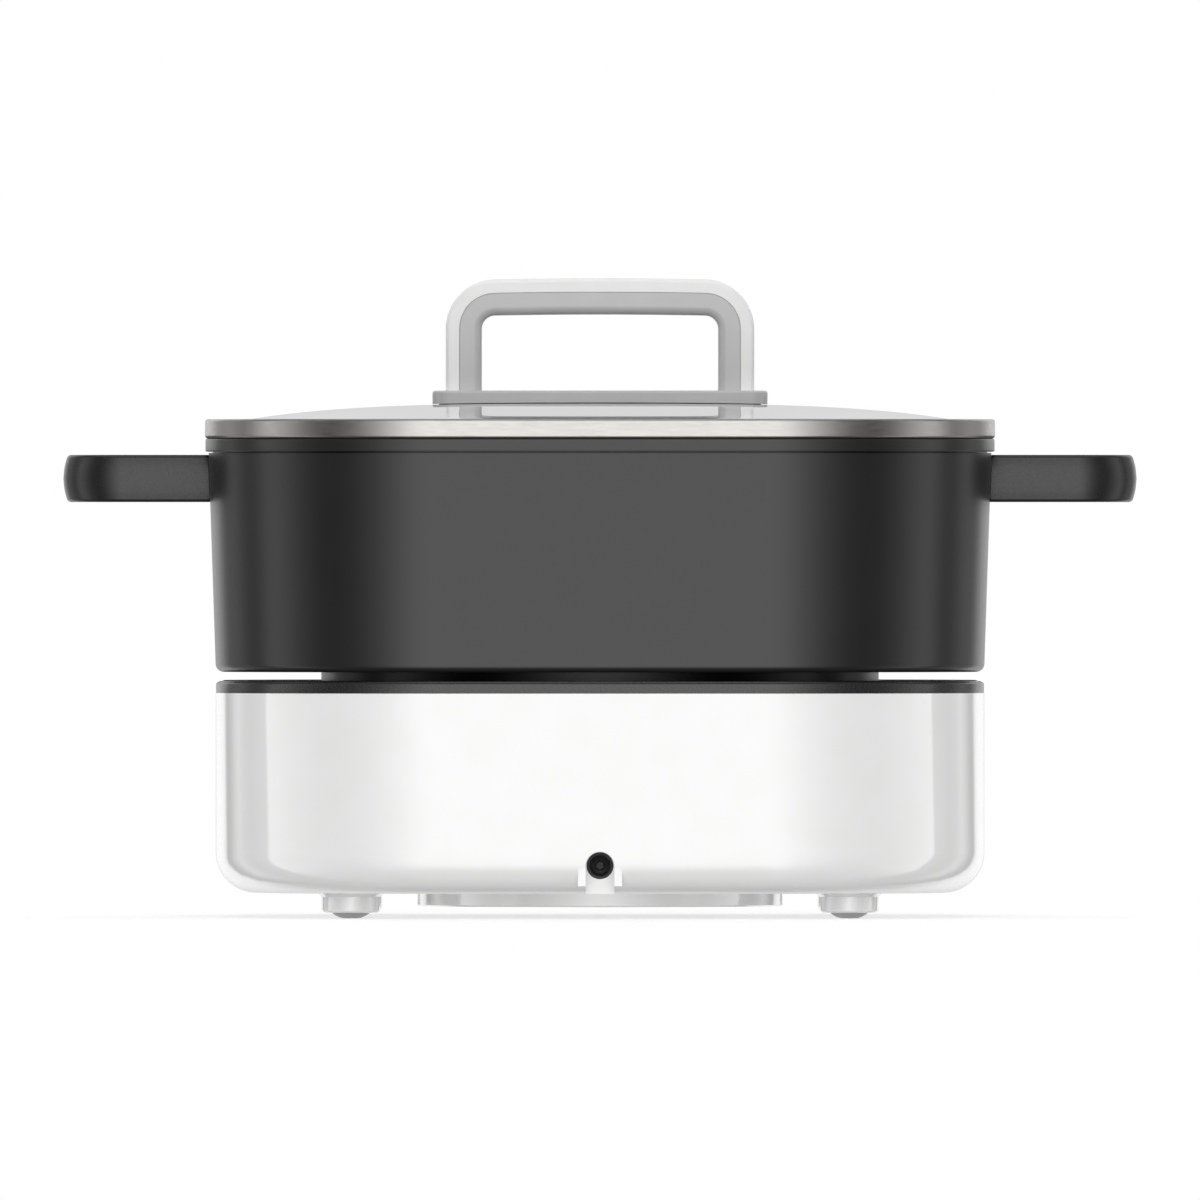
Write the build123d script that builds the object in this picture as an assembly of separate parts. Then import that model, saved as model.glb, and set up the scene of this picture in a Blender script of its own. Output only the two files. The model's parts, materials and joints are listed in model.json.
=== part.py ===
"""Split electric hot pot: a die-cast pot with a domed glass lid, lifted off a heated base.

Millimetres, +Z up. The origin is on the table, under the middle of the base.
The control knob is on the +Y side, and the cord leaves on the -Y side.
"""
from build123d import *
from math import atan2, cos, degrees, radians, sin, tan
import os

# ---------------------------------------------------------------- plan form
housing_width = 276.4        # base housing across its flats
housing_corner = 78.0        # plan radius of the housing's corners
deck_inset = 0.15            # deck edge inside the housing's side
pot_overhang = 2.7           # pot's side beyond the housing, at the plane of the pot's mouth
pot_draft = 1.9              # taper of the pot's side, degrees
band_step = 0.95             # thickened band of the pot's mouth beyond its side
rim_step = 0.15              # steel rim of the lid beyond that band

# ---------------------------------------------------------------- heights
foot_clearance = 9.0         # table to the underside of the housing
housing_height = 71.8
deck_thickness = 4.3
pot_gap = 3.3                # air between the deck and the pot's underside
pot_height = 83.8            # pot's underside to its mouth

# ---------------------------------------------------------------- fits
seam = 0.15                  # parting gap between fixed mouldings
running = 0.05               # radial clearance of a shaft, screw or tube in its hole
seat_clear = 0.3             # sideways clearance of a part dropped into its seat

# ---------------------------------------------------------------- base housing
housing_wall = 2.8
housing_bottom_round = 14.5  # round between side and underside
floor_opening_radius = 56.0
rib_thickness = 1.6
rib_depth = 5.0
rib_offset = 52.0            # wall ribs, each side of the middle

foot_spread = 89.4           # feet from the middle, along X and along Y
foot_radius = 10.6
foot_drop = 7.0              # foot moulding below the housing's underside
foot_flare = 1.3
foot_edge_round = 1.2
post_radius = 7.0            # hollow post above each foot
post_height = 35.0
screw_well_radius = 4.5
screw_seat_drop = 4.8        # seat of a base screw's head below the post's top

pad_radius = 6.8
pad_recess = 2.2
pad_flat_radius = 2.5
pad_drop = 2.0               # rubber standing below the foot moulding
pad_shoulder = (0.74, 0.62)  # shoulder of its dome, as shares of its radius and its drop

# ---------------------------------------------------------------- cord way
inlet_height = 10.1          # inlet above the housing's underside
inlet_radius = 4.8
channel_width = 10.3
channel_depth = 15.6
gland_bore_radius = 3.8
gland_length = 15.0
gland_collar_radius = 7.0
gland_collar = 2.2
gland_chamfer = 0.6

# ---------------------------------------------------------------- bottom cover
cover_radius = 65.8
cover_drop = 5.2
cover_floor = 2.4
cover_rim = 3.2
cover_recess = 1.0           # grille's field above the cover's edge
cover_chamfer = 0.5
spigot_height = 4.0
spigot_wall = 2.2
vent_count = 16
vent_width = 3.0
vent_inner = 26.0
vent_outer = 46.0
cover_boss_radius = 4.0
cover_boss_height = 13.0
cover_boss_cap = 1.0         # closed end of a boss
cover_screw_circle = 61.0

# ---------------------------------------------------------------- top deck
deck_lip = 0.4               # raised field of the deck above its edge
deck_lip_inset = 2.0
deck_edge_round = 0.8
skirt_depth = 5.0
skirt_wall = 2.0
well_drop = 1.7              # well's floor below the top of the heating plate
well_floor = 2.6             # deck under the pot's foot ring
well_clear = 1.5             # radial room around the pot's foot ring
well_rim = 4.0               # thickened ring under the well
deck_boss_radius = 5.0
shield_boss_radius = 4.0
shield_boss_drop = 5.8
shield_boss_reach = 2.0      # part of a boss outside the well

# ---------------------------------------------------------------- pot
pot_foot_radius = 100.5      # machined disc that stands on the heating plate
pot_foot_height = 6.3
pot_foot_round = 0.8
pot_floor = 4.5
pot_band_height = 4.6
pot_band_wall = 4.3
pot_band_chamfer = 0.3
pot_groove = 0.5
pot_groove_depth = 0.7
pot_bottom_round = 2.8
pot_inner_round = 12.0

# ---------------------------------------------------------------- pot handles
side_reach = 50.7            # pot's side to the grip's outer face, at its edges
side_spread = 52.0           # middle of the handle to the leg's outer face
side_thickness = 15.5
side_height = 17.0
side_top_gap = 1.2           # handle top below the rim band
side_bulge = 1.6
side_corner = 20.0
side_edge_round = 1.2
side_grip_round = 3.0
side_seam = 0.3
lug_size = 8.0
lug_length = 16.0
lug_root = 2.0               # part of a lug inside the pot's wall
lug_round = 1.5
lug_bore_end = 3.0           # screw hole past the middle of a lug
leg_root = 6.0               # blank of a handle inside the pot's side, before it is cut
lug_clear = 0.3
side_screw_reach = 10.5      # handle screw from the pot's side

# ---------------------------------------------------------------- lid
rim_sheet = 0.8
rim_height = 7.0
rim_lip = 7.0                # steel folded over the glass
rim_flange = 4.0             # steel reaching down into the pot's mouth
rim_fold = 1.0
rim_bed = 0.6                # silicone between steel and glass edge
glass_thickness = 4.0
glass_edge_clear = 0.4
glass_brim = 7.6             # flat border of the glass
dome_rise = 7.0
dome_gentle = 1.6            # share of the rise that falls with the square of the distance
dome_steps = (1.0, 0.93, 0.84, 0.73, 0.6, 0.45, 0.28, 0.1)
dome_corner = 72.0

plate_length = 120.8
plate_depth = 32.0
plate_corner = 6.0
plate_thickness = 4.3
plate_lift = 0.3             # handle plate above the crown of the glass
plate_edge_round = 1.0
gasket_thickness = 0.9
gasket_inset = 2.4

grip_width = 111.2           # lid handle across its legs
grip_height = 40.75          # lid handle above its plate
grip_depth = 22.0
grip_shell = 4.9             # outer moulding of the handle
grip_core = 8.1              # inner moulding of the handle
grip_corner = 17.9
grip_crown = 0.9             # rise of the top bar towards its middle
grip_crown_round = 1900.0
grip_edge_round = 1.4
grip_finger_round = 3.2
tongue_width = 7.0
tongue_height = 1.6

lid_screw_spread = 28.2
lid_screw_radius = 2.0
lid_hole_radius = 3.5
lid_washer_radius = 6.2
lid_washer = 0.8
lid_seal = 1.3
lid_washer_round = 0.36
lid_head_radius = 4.5
lid_head = 2.4
insert_radius = 3.2
insert_length = 2.6
insert_cap = 0.6             # plate left above an insert
insert_end = 0.4             # insert's closed end

vent_offset = 78.0           # steam eyelet behind the handle
vent_radius = 2.3
eyelet_radius = 5.2
eyelet_sheet = 0.6
eyelet_step = 1.0            # flange under the glass, smaller than the one above it

# ---------------------------------------------------------------- heater
heater_inset = 7.5           # edge of the heating plate inside the pot's foot
heater_thickness = 6.0
heater_chamfer = 0.6
element_circle = 62.0
element_radius = 4.0
element_gap = 14.0           # half angle of the element's open gap, degrees
element_bend = 8.0
element_leg = 16.0
bead_width = 12.0
bead_height = 2.0
pillar_inset = 15.0          # pillars in from the plate's edge
pillar_radius = 5.0
pillar_height = 19.3
pillar_bore = 13.0
heater_hole_radius = 12.2
shield_sheet = 0.8
shield_flange = 8.0
shield_floor_inset = 5.0     # pan's floor inside the plate's edge
terminal_hole_radius = 15.0
tab_point = 3                # a tab's end is bevelled by this part of its sheet

# ---------------------------------------------------------------- probe
probe_radius = 10.4
probe_wall = 1.0
probe_skirt = 15.0
probe_flange = 2.0
probe_travel = 2.5           # rise of the probe when the pot is taken off
guide_wall = 1.4
spring_radius = 7.0
spring_wire = 1.0
spring_turns = 4
spring_seat = 2.0            # pan under the spring, around the hole for the sensor's wires
probe_edge_round = 0.8
probe_flange_sheet = 1.0
capsule_height = 5.0
capsule_neck = 3.0           # part of the capsule that centres the spring
guide_lip = 1.0
guide_flange = 4.0
guide_flange_sheet = 1.2

# ---------------------------------------------------------------- control
knob_height = 41.0           # knob's axis above the housing's underside
knob_radius = 17.5
knob_length = 12.3
knob_wall = 2.8
knob_taper = 0.9
knob_gap = 0.6
flute_count = 30
flute_radius = 0.7
flute_stop = 2.4             # flutes end behind the knob's face
knob_edge_round = 1.4
hub_wall = 2.4
pointer_length = 9.0
pointer_width = 1.6
pointer_depth = 0.7
pointer_inset = 1.8
dish_depth = 5.6
dish_clear = 1.1             # room around the knob at the dish's floor
dish_flare = 1.0
dial_width = 2.2
dial_depth = 1.2
dial_proud = 0.3
dial_chamfer = 0.15
shaft_radius = 3.0
shaft_flat = 1.5
switch_size = 28.0
switch_depth = 18.0
switch_round = 2.0
switch_back_wall = 3.0
shaft_back_gap = 1.0         # shaft's ends clear of the switch's back wall and the knob's face
shaft_front_gap = 1.0
shaft_bore_room = 0.5        # bore of the hub past the shaft's end
hub_gap = 1.0                # air between the nut and the knob's hub
switch_tab_pitch = 8.0
switch_tab_drop = 6.0        # tabs below the shaft
bushing_radius = 4.5
bushing_length = 4.6
nut_across = 12.0
nut_thickness = 1.8
lamp_offset = -40.0
lamp_radius = 1.8
lamp_flange = 1.4
lamp_socket_radius = 3.4     # lens flange and lamp body, held in a socket on the wall
lamp_socket_wall = 1.6
lamp_socket_length = 9.0
lamp_body_length = 14.0
lamp_bulb_radius = 2.2
lamp_bulb_length = 4.0
lamp_bulb_round = 0.9
lens_proud = 0.1
lens_round = 0.5

# ---------------------------------------------------------------- limiters and wiring
limiter_circle = 36.0        # thermostat and fuse from the middle of the heating plate
limiter_angle = 20.0
can_radius = 7.9
can_height = 4.0
can_base_height = 6.0
can_bead = 0.5
can_tab_spread = 4.5
can_flange_width = 12.0
fuse_radius = 2.0
fuse_length = 11.0
fuse_wire_radius = 0.5
fuse_wire_length = 8.0
clip_sheet = 0.8
clip_foot = 8.0
clip_screw_radius = 1.5
clip_head_radius = 2.8
clip_head = 1.8
clip_screw_bore = 4.0
tab_width = 6.3
tab_sheet = 0.8
tab_length = 8.0
pin_radius = 1.6             # pins between the element's ends and their tabs
pin_length = 3.0
block_side = 44.0            # terminal block beside the cord way, and in from the wall
block_from_wall = 33.4
block_size = (34.0, 18.0, 15.0)
block_pitch = 10.5
block_way_height = 5.0       # wire holes above the housing's floor
block_screw_radius = 2.4
block_screw_low = 9.0
block_screw_length = 4.0
block_chamfer = 1.5
lead_radius = 1.3
lead_bend = 0.45             # arc of a lead's bend, as a share of its shorter run
block_lead = 20.0            # straight start of a lead at the block, and its end at a tab
tab_lead = 12.0
switched_drop = 9.0          # straight drop of each lead under its tab of the element
neutral_drop = 7.2
lead_entry = 5.0             # length of a lead inside the block
earth_inset = 7.4            # earth screw in from the edge of the pan's floor
earth_angle = -60.26
barrel_size = (3.2, 7.6)     # crimped barrel of the earth tag, across and long
live_route = ((52, -56, 26), (62, -10, 34), (50, 50, 38), (24, 82, 42))
switched_route = ((-30, 66, 38), (-48, 20, 33), (-44, -30, 28), (-22, -58, 24))
neutral_route = ((26, -60, 22), (16, -54, 25))
earth_route = ((62, -70, 28), (58, -92, 42), (44, -104, 50))

# ---------------------------------------------------------------- fasteners
screw_radius = 2.0
head_radius = 3.6
head_height = 2.4
head_sink = 0.4              # screw head below the face that it is sunk in
head_flat_share = 0.75       # flat top of a screw's head
head_side_share = 0.45       # upright part of its side
tip_share = 0.7              # tip of a screw's shank
recess_width_share = 0.24    # cross recess in a head
recess_depth_share = 0.55
cover_screw_length = 14.0
base_screw_length = 20.0
shield_screw_length = 6.5
heater_screw_length = 12.0
limiter_screw_length = 4.5
earth_screw_length = 4.0
handle_screw_length = 8.0

# ---------------------------------------------------------------- derived places
corner_centre = housing_width / 2 - housing_corner
housing_bottom = foot_clearance
housing_top = housing_bottom + housing_height
housing_floor = housing_bottom + housing_wall
inner_half = housing_width / 2 - housing_wall
face = housing_width / 2
deck_top = housing_top + deck_thickness
pot_bottom = deck_top + pot_gap
pot_top = pot_bottom + pot_height
pot_body_width = housing_width + 2 * pot_overhang
pot_band_width = pot_body_width + 2 * band_step
lid_width = pot_band_width + 2 * rim_step
heater_radius = pot_foot_radius - heater_inset
pillar_circle = heater_radius - pillar_inset
shield_floor_radius = heater_radius - shield_floor_inset
earth_reach = shield_floor_radius - earth_inset
earth_place = (earth_reach * cos(radians(earth_angle)), earth_reach * sin(radians(earth_angle)))
heater_top = pot_bottom - pot_foot_height
heater_bottom = heater_top - heater_thickness
well_radius = pot_foot_radius + well_clear
well_bottom = heater_top - well_drop
deck_under = well_bottom - well_floor
shield_top = deck_under - shield_boss_drop
shield_circle = well_radius - shield_boss_radius + shield_boss_reach
shield_floor = heater_bottom - pillar_height
foot_bottom = housing_bottom - foot_drop
post_top = housing_bottom + post_height
base_screw_seat = post_top - screw_seat_drop
inlet_z = housing_bottom + inlet_height
channel_back = -face + channel_depth
knob_z = housing_bottom + knob_height
dish_floor = face - dish_depth
dish_radius = knob_radius + dish_clear
knob_back = dish_floor + knob_gap
knob_front = knob_back + knob_length
glass_top = pot_top + rim_height - rim_sheet - glass_edge_clear
glass_under = glass_top - glass_thickness
glass_width = lid_width - 2 * (rim_sheet + rim_bed)
dome_width = glass_width - 2 * glass_brim
plate_under = glass_top + dome_rise + plate_lift
plate_top = plate_under + plate_thickness
side_top = pot_top - pot_band_height - side_top_gap
side_middle = side_top - side_height / 2
grip_face = pot_body_width / 2 + side_reach


# ---------------------------------------------------------------- helpers
def plan(width):
    """Rounded square of the product's plan; every one shares the same corner centres."""
    return RectangleRounded(width, width, width / 2 - corner_centre)


def prism(outline, low, high):
    """Upright prism of a flat outline between two heights."""
    return extrude(Pos(0, 0, low) * outline, high - low)


def disc(radius, low, high, x=0.0, y=0.0):
    """Upright cylinder between two heights."""
    return Pos(x, y, 0) * prism(Circle(radius), low, high)


def rod(radius, back, front, x=0.0, z=0.0):
    """Cylinder along Y between two depths."""
    return extrude(Plane(origin=(x, back, z), z_dir=(0, 1, 0)) * Circle(radius), front - back)


def cone(back_radius, front_radius, back, front, z):
    """Tapered cylinder along Y between two depths."""
    return Plane(origin=(0, back, z), z_dir=(0, 1, 0)) * Cone(
        back_radius, front_radius, front - back, align=(Align.CENTER, Align.CENTER, Align.MIN))


def tube(path, radius):
    """Round rod along a path of straight runs and arcs, each run and arc a true one."""
    rods = []
    for run in path.edges():
        start = Plane(origin=run @ 0, z_dir=run % 0) * Circle(radius)
        if run.geom_type == GeomType.LINE:
            rods.append(extrude(start, run.length))
        else:
            spoke = (run @ 0) - run.arc_center
            hinge = Axis(run.arc_center, spoke.cross(run % 0))
            rods.append(revolve(start, hinge, degrees(run.length / run.radius)))
    return rods[0].fuse(*rods[1:])


def turned(points):
    """Solid of revolution about Z from a closed outline of (radius, height) points."""
    return revolve(Plane.XZ * make_face(Polyline(*points, close=True)), Axis.Z)


def spots(radius, count, start=0.0):
    """Places at equal angles on a circle."""
    angles = [start + step * 360 / count for step in range(count)]
    return [(radius * cos(radians(a)), radius * sin(radians(a))) for a in angles]


def corners(spread):
    """The four places at plus and minus the same distance along X and Y."""
    return [(x, y) for x in (-spread, spread) for y in (-spread, spread)]


def bottom_edges(solid):
    return solid.faces().sort_by(Axis.Z)[0].edges()


def top_edges(solid):
    return solid.faces().sort_by(Axis.Z)[-1].edges()


def cross_screw(radius, head, height, length):
    """Pan-head screw with a cross recess; head below z = 0 and shank upwards from it."""
    edge = head * head_flat_share
    point = radius * tip_share
    blank = turned([(0, length), (point, length), (radius, length - radius + point), (radius, 0),
                    (head, 0), (head, -height * head_side_share), (edge, -height), (0, -height)])
    slot = Box(2 * edge * head_flat_share, head * recess_width_share,
               height * recess_depth_share, align=(Align.CENTER, Align.CENTER, Align.MIN))
    return blank - Pos(0, 0, -height) * (slot + Rot(0, 0, 90) * slot)


def screws(places, under, radius, head, height, length):
    """Equal screws with the underside of each head pressed against the height given."""
    one = cross_screw(radius, head, height, length)
    return [Pos(x, y, under) * one for x, y in places]


NODES = {}


def keep(name, *solids):
    """Write one sub-part to its own STEP file."""
    os.makedirs("parts", exist_ok=True)
    shape = solids[0] if len(solids) == 1 else Compound(children=list(solids))
    shape.label = name
    export_step(shape, f"parts/{name}.step")
    NODES[name] = shape


# ---------------------------------------------------------------- base housing
def base_housing():
    shell = fillet(bottom_edges(prism(plan(housing_width), housing_bottom, housing_top)),
                   housing_bottom_round)
    hollow = prism(plan(2 * inner_half), housing_floor, housing_top)
    shell -= fillet(bottom_edges(hollow), housing_bottom_round - housing_wall)

    # upright ribs that stiffen the side walls
    rib_low = housing_floor + housing_bottom_round
    rib_high = housing_top - skirt_depth - seat_clear
    for side in range(4):
        for offset in (-rib_offset, rib_offset):
            rib = Box(rib_depth, rib_thickness, rib_high - rib_low,
                      align=(Align.MAX, Align.CENTER, Align.MIN))
            shell += Rot(0, 0, 90 * side) * Pos(inner_half + running, offset, rib_low) * rib

    # feet and the posts above them
    flare_radius = foot_radius + foot_flare
    foot = disc(foot_radius, foot_bottom, housing_floor)
    foot = fillet(bottom_edges(foot), foot_edge_round)
    flare = turned([(0, housing_bottom - foot_flare), (foot_radius, housing_bottom - foot_flare),
                    (flare_radius, housing_bottom), (0, housing_bottom)])
    post = disc(post_radius, housing_bottom, post_top)
    well = disc(screw_well_radius, foot_bottom, base_screw_seat)
    well += disc(pad_radius + running, foot_bottom, foot_bottom + pad_recess)
    well += disc(screw_radius + 2 * running, foot_bottom, post_top)
    for x, y in corners(foot_spread):
        shell += Pos(x, y, 0) * (foot + flare + post)
    for x, y in corners(foot_spread):
        shell -= Pos(x, y, 0) * well

    # opening in the floor and the bosses that take the bottom cover's screws
    shell -= disc(floor_opening_radius, housing_bottom - 1, housing_floor + 1)
    for x, y in spots(cover_screw_circle, 4, 45):
        shell += disc(cover_boss_radius, housing_bottom, housing_bottom + cover_boss_height, x, y)
        shell -= disc(screw_radius + running, housing_bottom - 1,
                      housing_bottom + cover_boss_height - cover_boss_cap, x, y)

    # dished seat of the knob, with a rebate for the dial ring
    mouth = dish_radius + dish_flare
    shell += rod(mouth + dial_width + housing_wall, dish_floor - housing_wall, inner_half + 1,
                 z=knob_z)
    shell -= cone(dish_radius, mouth, dish_floor, face, knob_z)
    shell -= rod(mouth + dial_width, face - dial_depth, face + 1, z=knob_z)
    shell -= rod(bushing_radius + running, 0, face, z=knob_z)
    socket = rod(lamp_socket_radius + lamp_socket_wall, inner_half - lamp_socket_length,
                 inner_half + 1, x=lamp_offset, z=knob_z)
    shell += socket - rod(lamp_socket_radius + running, inner_half - lamp_socket_length,
                          inner_half, x=lamp_offset, z=knob_z)
    shell -= rod(lamp_radius + running, inner_half - 1, face + 1, x=lamp_offset, z=knob_z)

    # cord way: a notch up the side with the inlet in its back wall
    notch_half = channel_width / 2
    notch_top = inlet_z + notch_half
    block = Box(channel_width + 2 * housing_wall, channel_depth + housing_wall - 1,
                notch_top + housing_wall - housing_floor,
                align=(Align.CENTER, Align.MIN, Align.MIN))
    shell += Pos(0, -face + 1, housing_floor) * block & prism(
        plan(housing_width - 1), housing_floor, housing_top)
    notch = Rectangle(channel_width, inlet_z, align=(Align.CENTER, Align.MAX)) + Circle(notch_half)
    shell -= extrude(Plane(origin=(0, -face - 1, inlet_z), x_dir=(1, 0, 0), z_dir=(0, -1, 0))
                     * notch, -channel_depth - 1)
    shell -= rod(inlet_radius + running, -face, channel_back + housing_wall + 1, z=inlet_z)
    return shell


def cord_gland():
    collar_back = channel_back + housing_wall
    gland = rod(inlet_radius, channel_back, channel_back + gland_length, z=inlet_z)
    gland += rod(gland_collar_radius, collar_back, collar_back + gland_collar, z=inlet_z)
    gland = chamfer(gland.edges().group_by(Axis.Y)[-1], gland_chamfer)
    return gland - rod(gland_bore_radius, channel_back - 1, channel_back + gland_length + 1,
                       z=inlet_z)


def foot_pads():
    across, down = pad_shoulder
    curve = ThreePointArc((pad_radius, 0), (pad_radius * across, -pad_drop * down),
                          (pad_flat_radius, -pad_drop))
    outline = Polyline((pad_flat_radius, -pad_drop), (0, -pad_drop), (0, pad_recess),
                       (pad_radius, pad_recess), (pad_radius, 0))
    pad = revolve(Plane.XZ * make_face(Curve() + [curve, outline]), Axis.Z)
    return [Pos(x, y, foot_bottom) * pad for x, y in corners(foot_spread)]


def bottom_cover():
    top = housing_bottom
    low = top - cover_drop
    cup = chamfer(bottom_edges(disc(cover_radius, low, top)), cover_chamfer)
    cup += disc(floor_opening_radius - seat_clear, top, top + spigot_height)
    cup -= disc(floor_opening_radius - seat_clear - spigot_wall, low + cover_floor + cover_recess,
                top + spigot_height)
    cup -= disc(floor_opening_radius - seat_clear - spigot_wall - cover_rim, low,
                low + cover_recess)
    length = vent_outer - vent_inner
    slot = extrude(SlotOverall(length, vent_width), cover_floor + 4)
    for step in range(vent_count):
        cup -= Rot(0, 0, step * 360 / vent_count) * Pos(vent_inner + length / 2, 0, low - 1) * slot
    for x, y in spots(cover_screw_circle, 4, 45):
        cup -= disc(head_radius + 2 * running, low - 1, low + head_height + head_sink, x, y)
        cup -= disc(screw_radius + running, low, top + 1, x, y)
    return cup


# ---------------------------------------------------------------- top deck
def top_deck():
    width = housing_width - 2 * deck_inset
    deck = prism(plan(width), housing_top, deck_top - deck_lip)
    deck = fillet(top_edges(deck), deck_edge_round)
    field = prism(plan(width - 2 * deck_lip_inset), deck_top - 2 * deck_lip, deck_top)
    deck += fillet(top_edges(field), deck_lip / 2)
    skirt_width = 2 * (inner_half - seat_clear)
    deck += (prism(plan(skirt_width), housing_top - skirt_depth, housing_top)
             - prism(plan(skirt_width - 2 * skirt_wall), housing_top - skirt_depth, housing_top))
    deck += disc(well_radius + well_rim, deck_under, housing_top)

    # bosses that reach down to the housing's posts and to the heat shield
    for x, y in corners(foot_spread):
        deck += disc(deck_boss_radius, post_top, housing_top, x, y)
        deck -= disc(screw_radius + running, post_top - 1, post_top + base_screw_length, x, y)
    for x, y in spots(shield_circle, 4):
        deck += disc(shield_boss_radius, shield_top, deck_under, x, y)
    deck -= disc(heater_radius + well_clear, deck_under - shield_boss_drop, deck_top)
    deck -= disc(well_radius, well_bottom, deck_top)
    for x, y in spots(shield_circle, 4):
        deck -= disc(screw_radius + running, shield_top - 1, shield_top + shield_screw_length, x, y)
    return deck


# ---------------------------------------------------------------- heater
def element_path():
    """Open ring of tube with both ends bent straight down."""
    z = heater_bottom - bead_height
    ring = CenterArc((0, 0, z), element_circle, -90 + element_gap, 360 - 2 * element_gap)
    runs = [ring]
    for end, way in ((ring @ 0, -1), (ring @ 1, 1)):
        tangent = (ring % 0 if way < 0 else ring % 1) * way
        low = end + tangent * element_bend - Vector(0, 0, element_bend)
        bend = ThreePointArc(end, end + tangent * element_bend * sin(radians(45))
                             - Vector(0, 0, element_bend * (1 - cos(radians(45)))), low)
        runs += [bend, Line(low, low - Vector(0, 0, element_leg))]
    return Wire(Curve() + runs)


def element_tube(radius):
    return tube(element_path(), radius)


def element_ends():
    path = element_path()
    return [path @ 0, path @ 1]


def heating_element():
    return element_tube(element_radius)


def element_terminals():
    """A ceramic-sealed pin and a flat tab under each end of the element."""
    tabs = []
    for end in element_ends():
        low = end.Z - pin_length
        pin = disc(pin_radius, low, end.Z, end.X, end.Y)
        tab = Pos(end.X, end.Y, low - tab_length) * extrude(
            Rectangle(tab_sheet, tab_width), tab_length)
        tabs.append(pin + chamfer(bottom_edges(tab), tab_sheet / tab_point))
    return tabs


def heating_plate():
    plate = disc(heater_radius, heater_bottom, heater_top)
    plate = chamfer(top_edges(plate), heater_chamfer)
    bead = (disc(element_circle + bead_width / 2, heater_bottom - bead_height, heater_bottom)
            - disc(element_circle - bead_width / 2, heater_bottom - bead_height, heater_bottom))
    plate += bead
    for x, y in spots(pillar_circle, 3, 90):
        plate += disc(pillar_radius, shield_floor, heater_bottom, x, y)
        plate -= disc(screw_radius + running, shield_floor - 1, shield_floor + pillar_bore, x, y)
    for x, y in limiter_screw_places():
        plate -= disc(clip_screw_radius + running, heater_bottom - 1,
                      heater_bottom + clip_screw_bore, x, y)
    plate -= disc(heater_hole_radius, heater_bottom - 1, heater_top)
    return plate - element_tube(element_radius + running)


def heat_shield():
    """Pressed steel pan that hangs under the deck and carries the heating plate."""
    flange = shield_circle + shield_boss_radius
    wall_top = flange - shield_flange
    wall_low = shield_floor_radius
    low = shield_floor - shield_sheet
    pan = turned([(0, low), (wall_low, low), (wall_top, shield_top - shield_sheet),
                  (flange, shield_top - shield_sheet), (flange, shield_top),
                  (wall_top - shield_sheet, shield_top), (wall_low - shield_sheet, shield_floor),
                  (0, shield_floor)])
    for x, y in spots(shield_circle, 4):
        pan -= disc(screw_radius + 2 * running, low, shield_top + 1, x, y)
    for x, y in spots(pillar_circle, 3, 90):
        pan -= disc(screw_radius + 2 * running, low - 1, shield_top, x, y)
    pan -= disc(terminal_hole_radius, low - 1, shield_floor + 1, 0, -element_circle)
    pan -= disc(screw_radius + 2 * running, low - 1, shield_floor + 1, *earth_place)
    return pan - disc(spring_radius - spring_seat, low - 1, shield_floor + 1)


def limiter_places():
    """Thermostat and thermal fuse, opposite each other under the heating plate."""
    return spots(limiter_circle, 2, limiter_angle)


def thermostat():
    """Snap-disc limiter on its flange, pressed against the underside of the heating plate."""
    x, y = limiter_places()[0]
    under = heater_bottom
    flange = Pos(0, 0, under - clip_sheet) * extrude(
        SlotOverall(2 * can_radius + 2 * clip_foot, can_flange_width), clip_sheet)
    body = disc(can_radius, under - can_height, under) + disc(
        can_radius + can_bead, under - can_height - can_base_height, under - can_height)
    for side in (-1, 1):
        body += Pos(side * can_tab_spread, 0, under - can_height - can_base_height - tab_length) * extrude(
            Rectangle(tab_sheet, tab_width), tab_length)
        flange -= disc(clip_screw_radius + running, 0, under, side * (can_radius + clip_foot / 2))
    return Pos(x, y, 0) * (flange + body)


def fuse_clip():
    """Spring-steel strap that holds the thermal fuse against the heating plate."""
    x, y = limiter_places()[1]
    hold = fuse_radius + running
    middle = Pos(0, -hold)
    outer = middle * Circle(hold + clip_sheet) + Pos(0, -hold / 2) * Rectangle(
        2 * (hold + clip_sheet), hold)
    feet = Pos(0, -clip_sheet / 2) * Rectangle(2 * (can_radius + clip_foot), clip_sheet)
    inner = middle * Circle(hold) + Pos(0, -hold / 2) * Rectangle(2 * hold, hold)
    above = Rectangle(4 * clip_foot, 4 * clip_foot, align=(Align.CENTER, Align.MIN))
    clip = extrude(Plane.XZ * (outer + feet - inner - above), clip_foot / 2, both=True)
    for side in (-1, 1):
        clip -= disc(clip_screw_radius + running, -2, 1, side * (can_radius + clip_foot / 2))
    return Pos(x, y, heater_bottom) * clip


def thermal_fuse():
    x, y = limiter_places()[1]
    body = extrude(Plane.XZ * Circle(fuse_radius), fuse_length / 2, both=True)
    leads = extrude(Plane.XZ * Circle(fuse_wire_radius), fuse_length / 2 + fuse_wire_length, both=True)
    return Pos(x, y, heater_bottom - fuse_radius - running) * (body + leads)


def limiter_screw_places():
    return [(x + side * (can_radius + clip_foot / 2), y)
            for x, y in limiter_places() for side in (-1, 1)]


# ---------------------------------------------------------------- probe
def sensor_cup():
    top = heater_top
    cup = disc(probe_radius, top - probe_skirt, top)
    cup = fillet(top_edges(cup), probe_edge_round)
    cup += disc(probe_radius + probe_flange, top - probe_skirt,
                top - probe_skirt + probe_flange_sheet)
    return cup - disc(probe_radius - probe_wall, top - probe_skirt - 1, top - probe_wall)


def sensor_capsule():
    top = heater_top - probe_wall
    low = top - capsule_height
    capsule = disc(probe_radius - probe_wall - running, low, top)
    return capsule + disc(spring_radius - spring_wire / 2 - 4 * running, low - capsule_neck, low)


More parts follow.
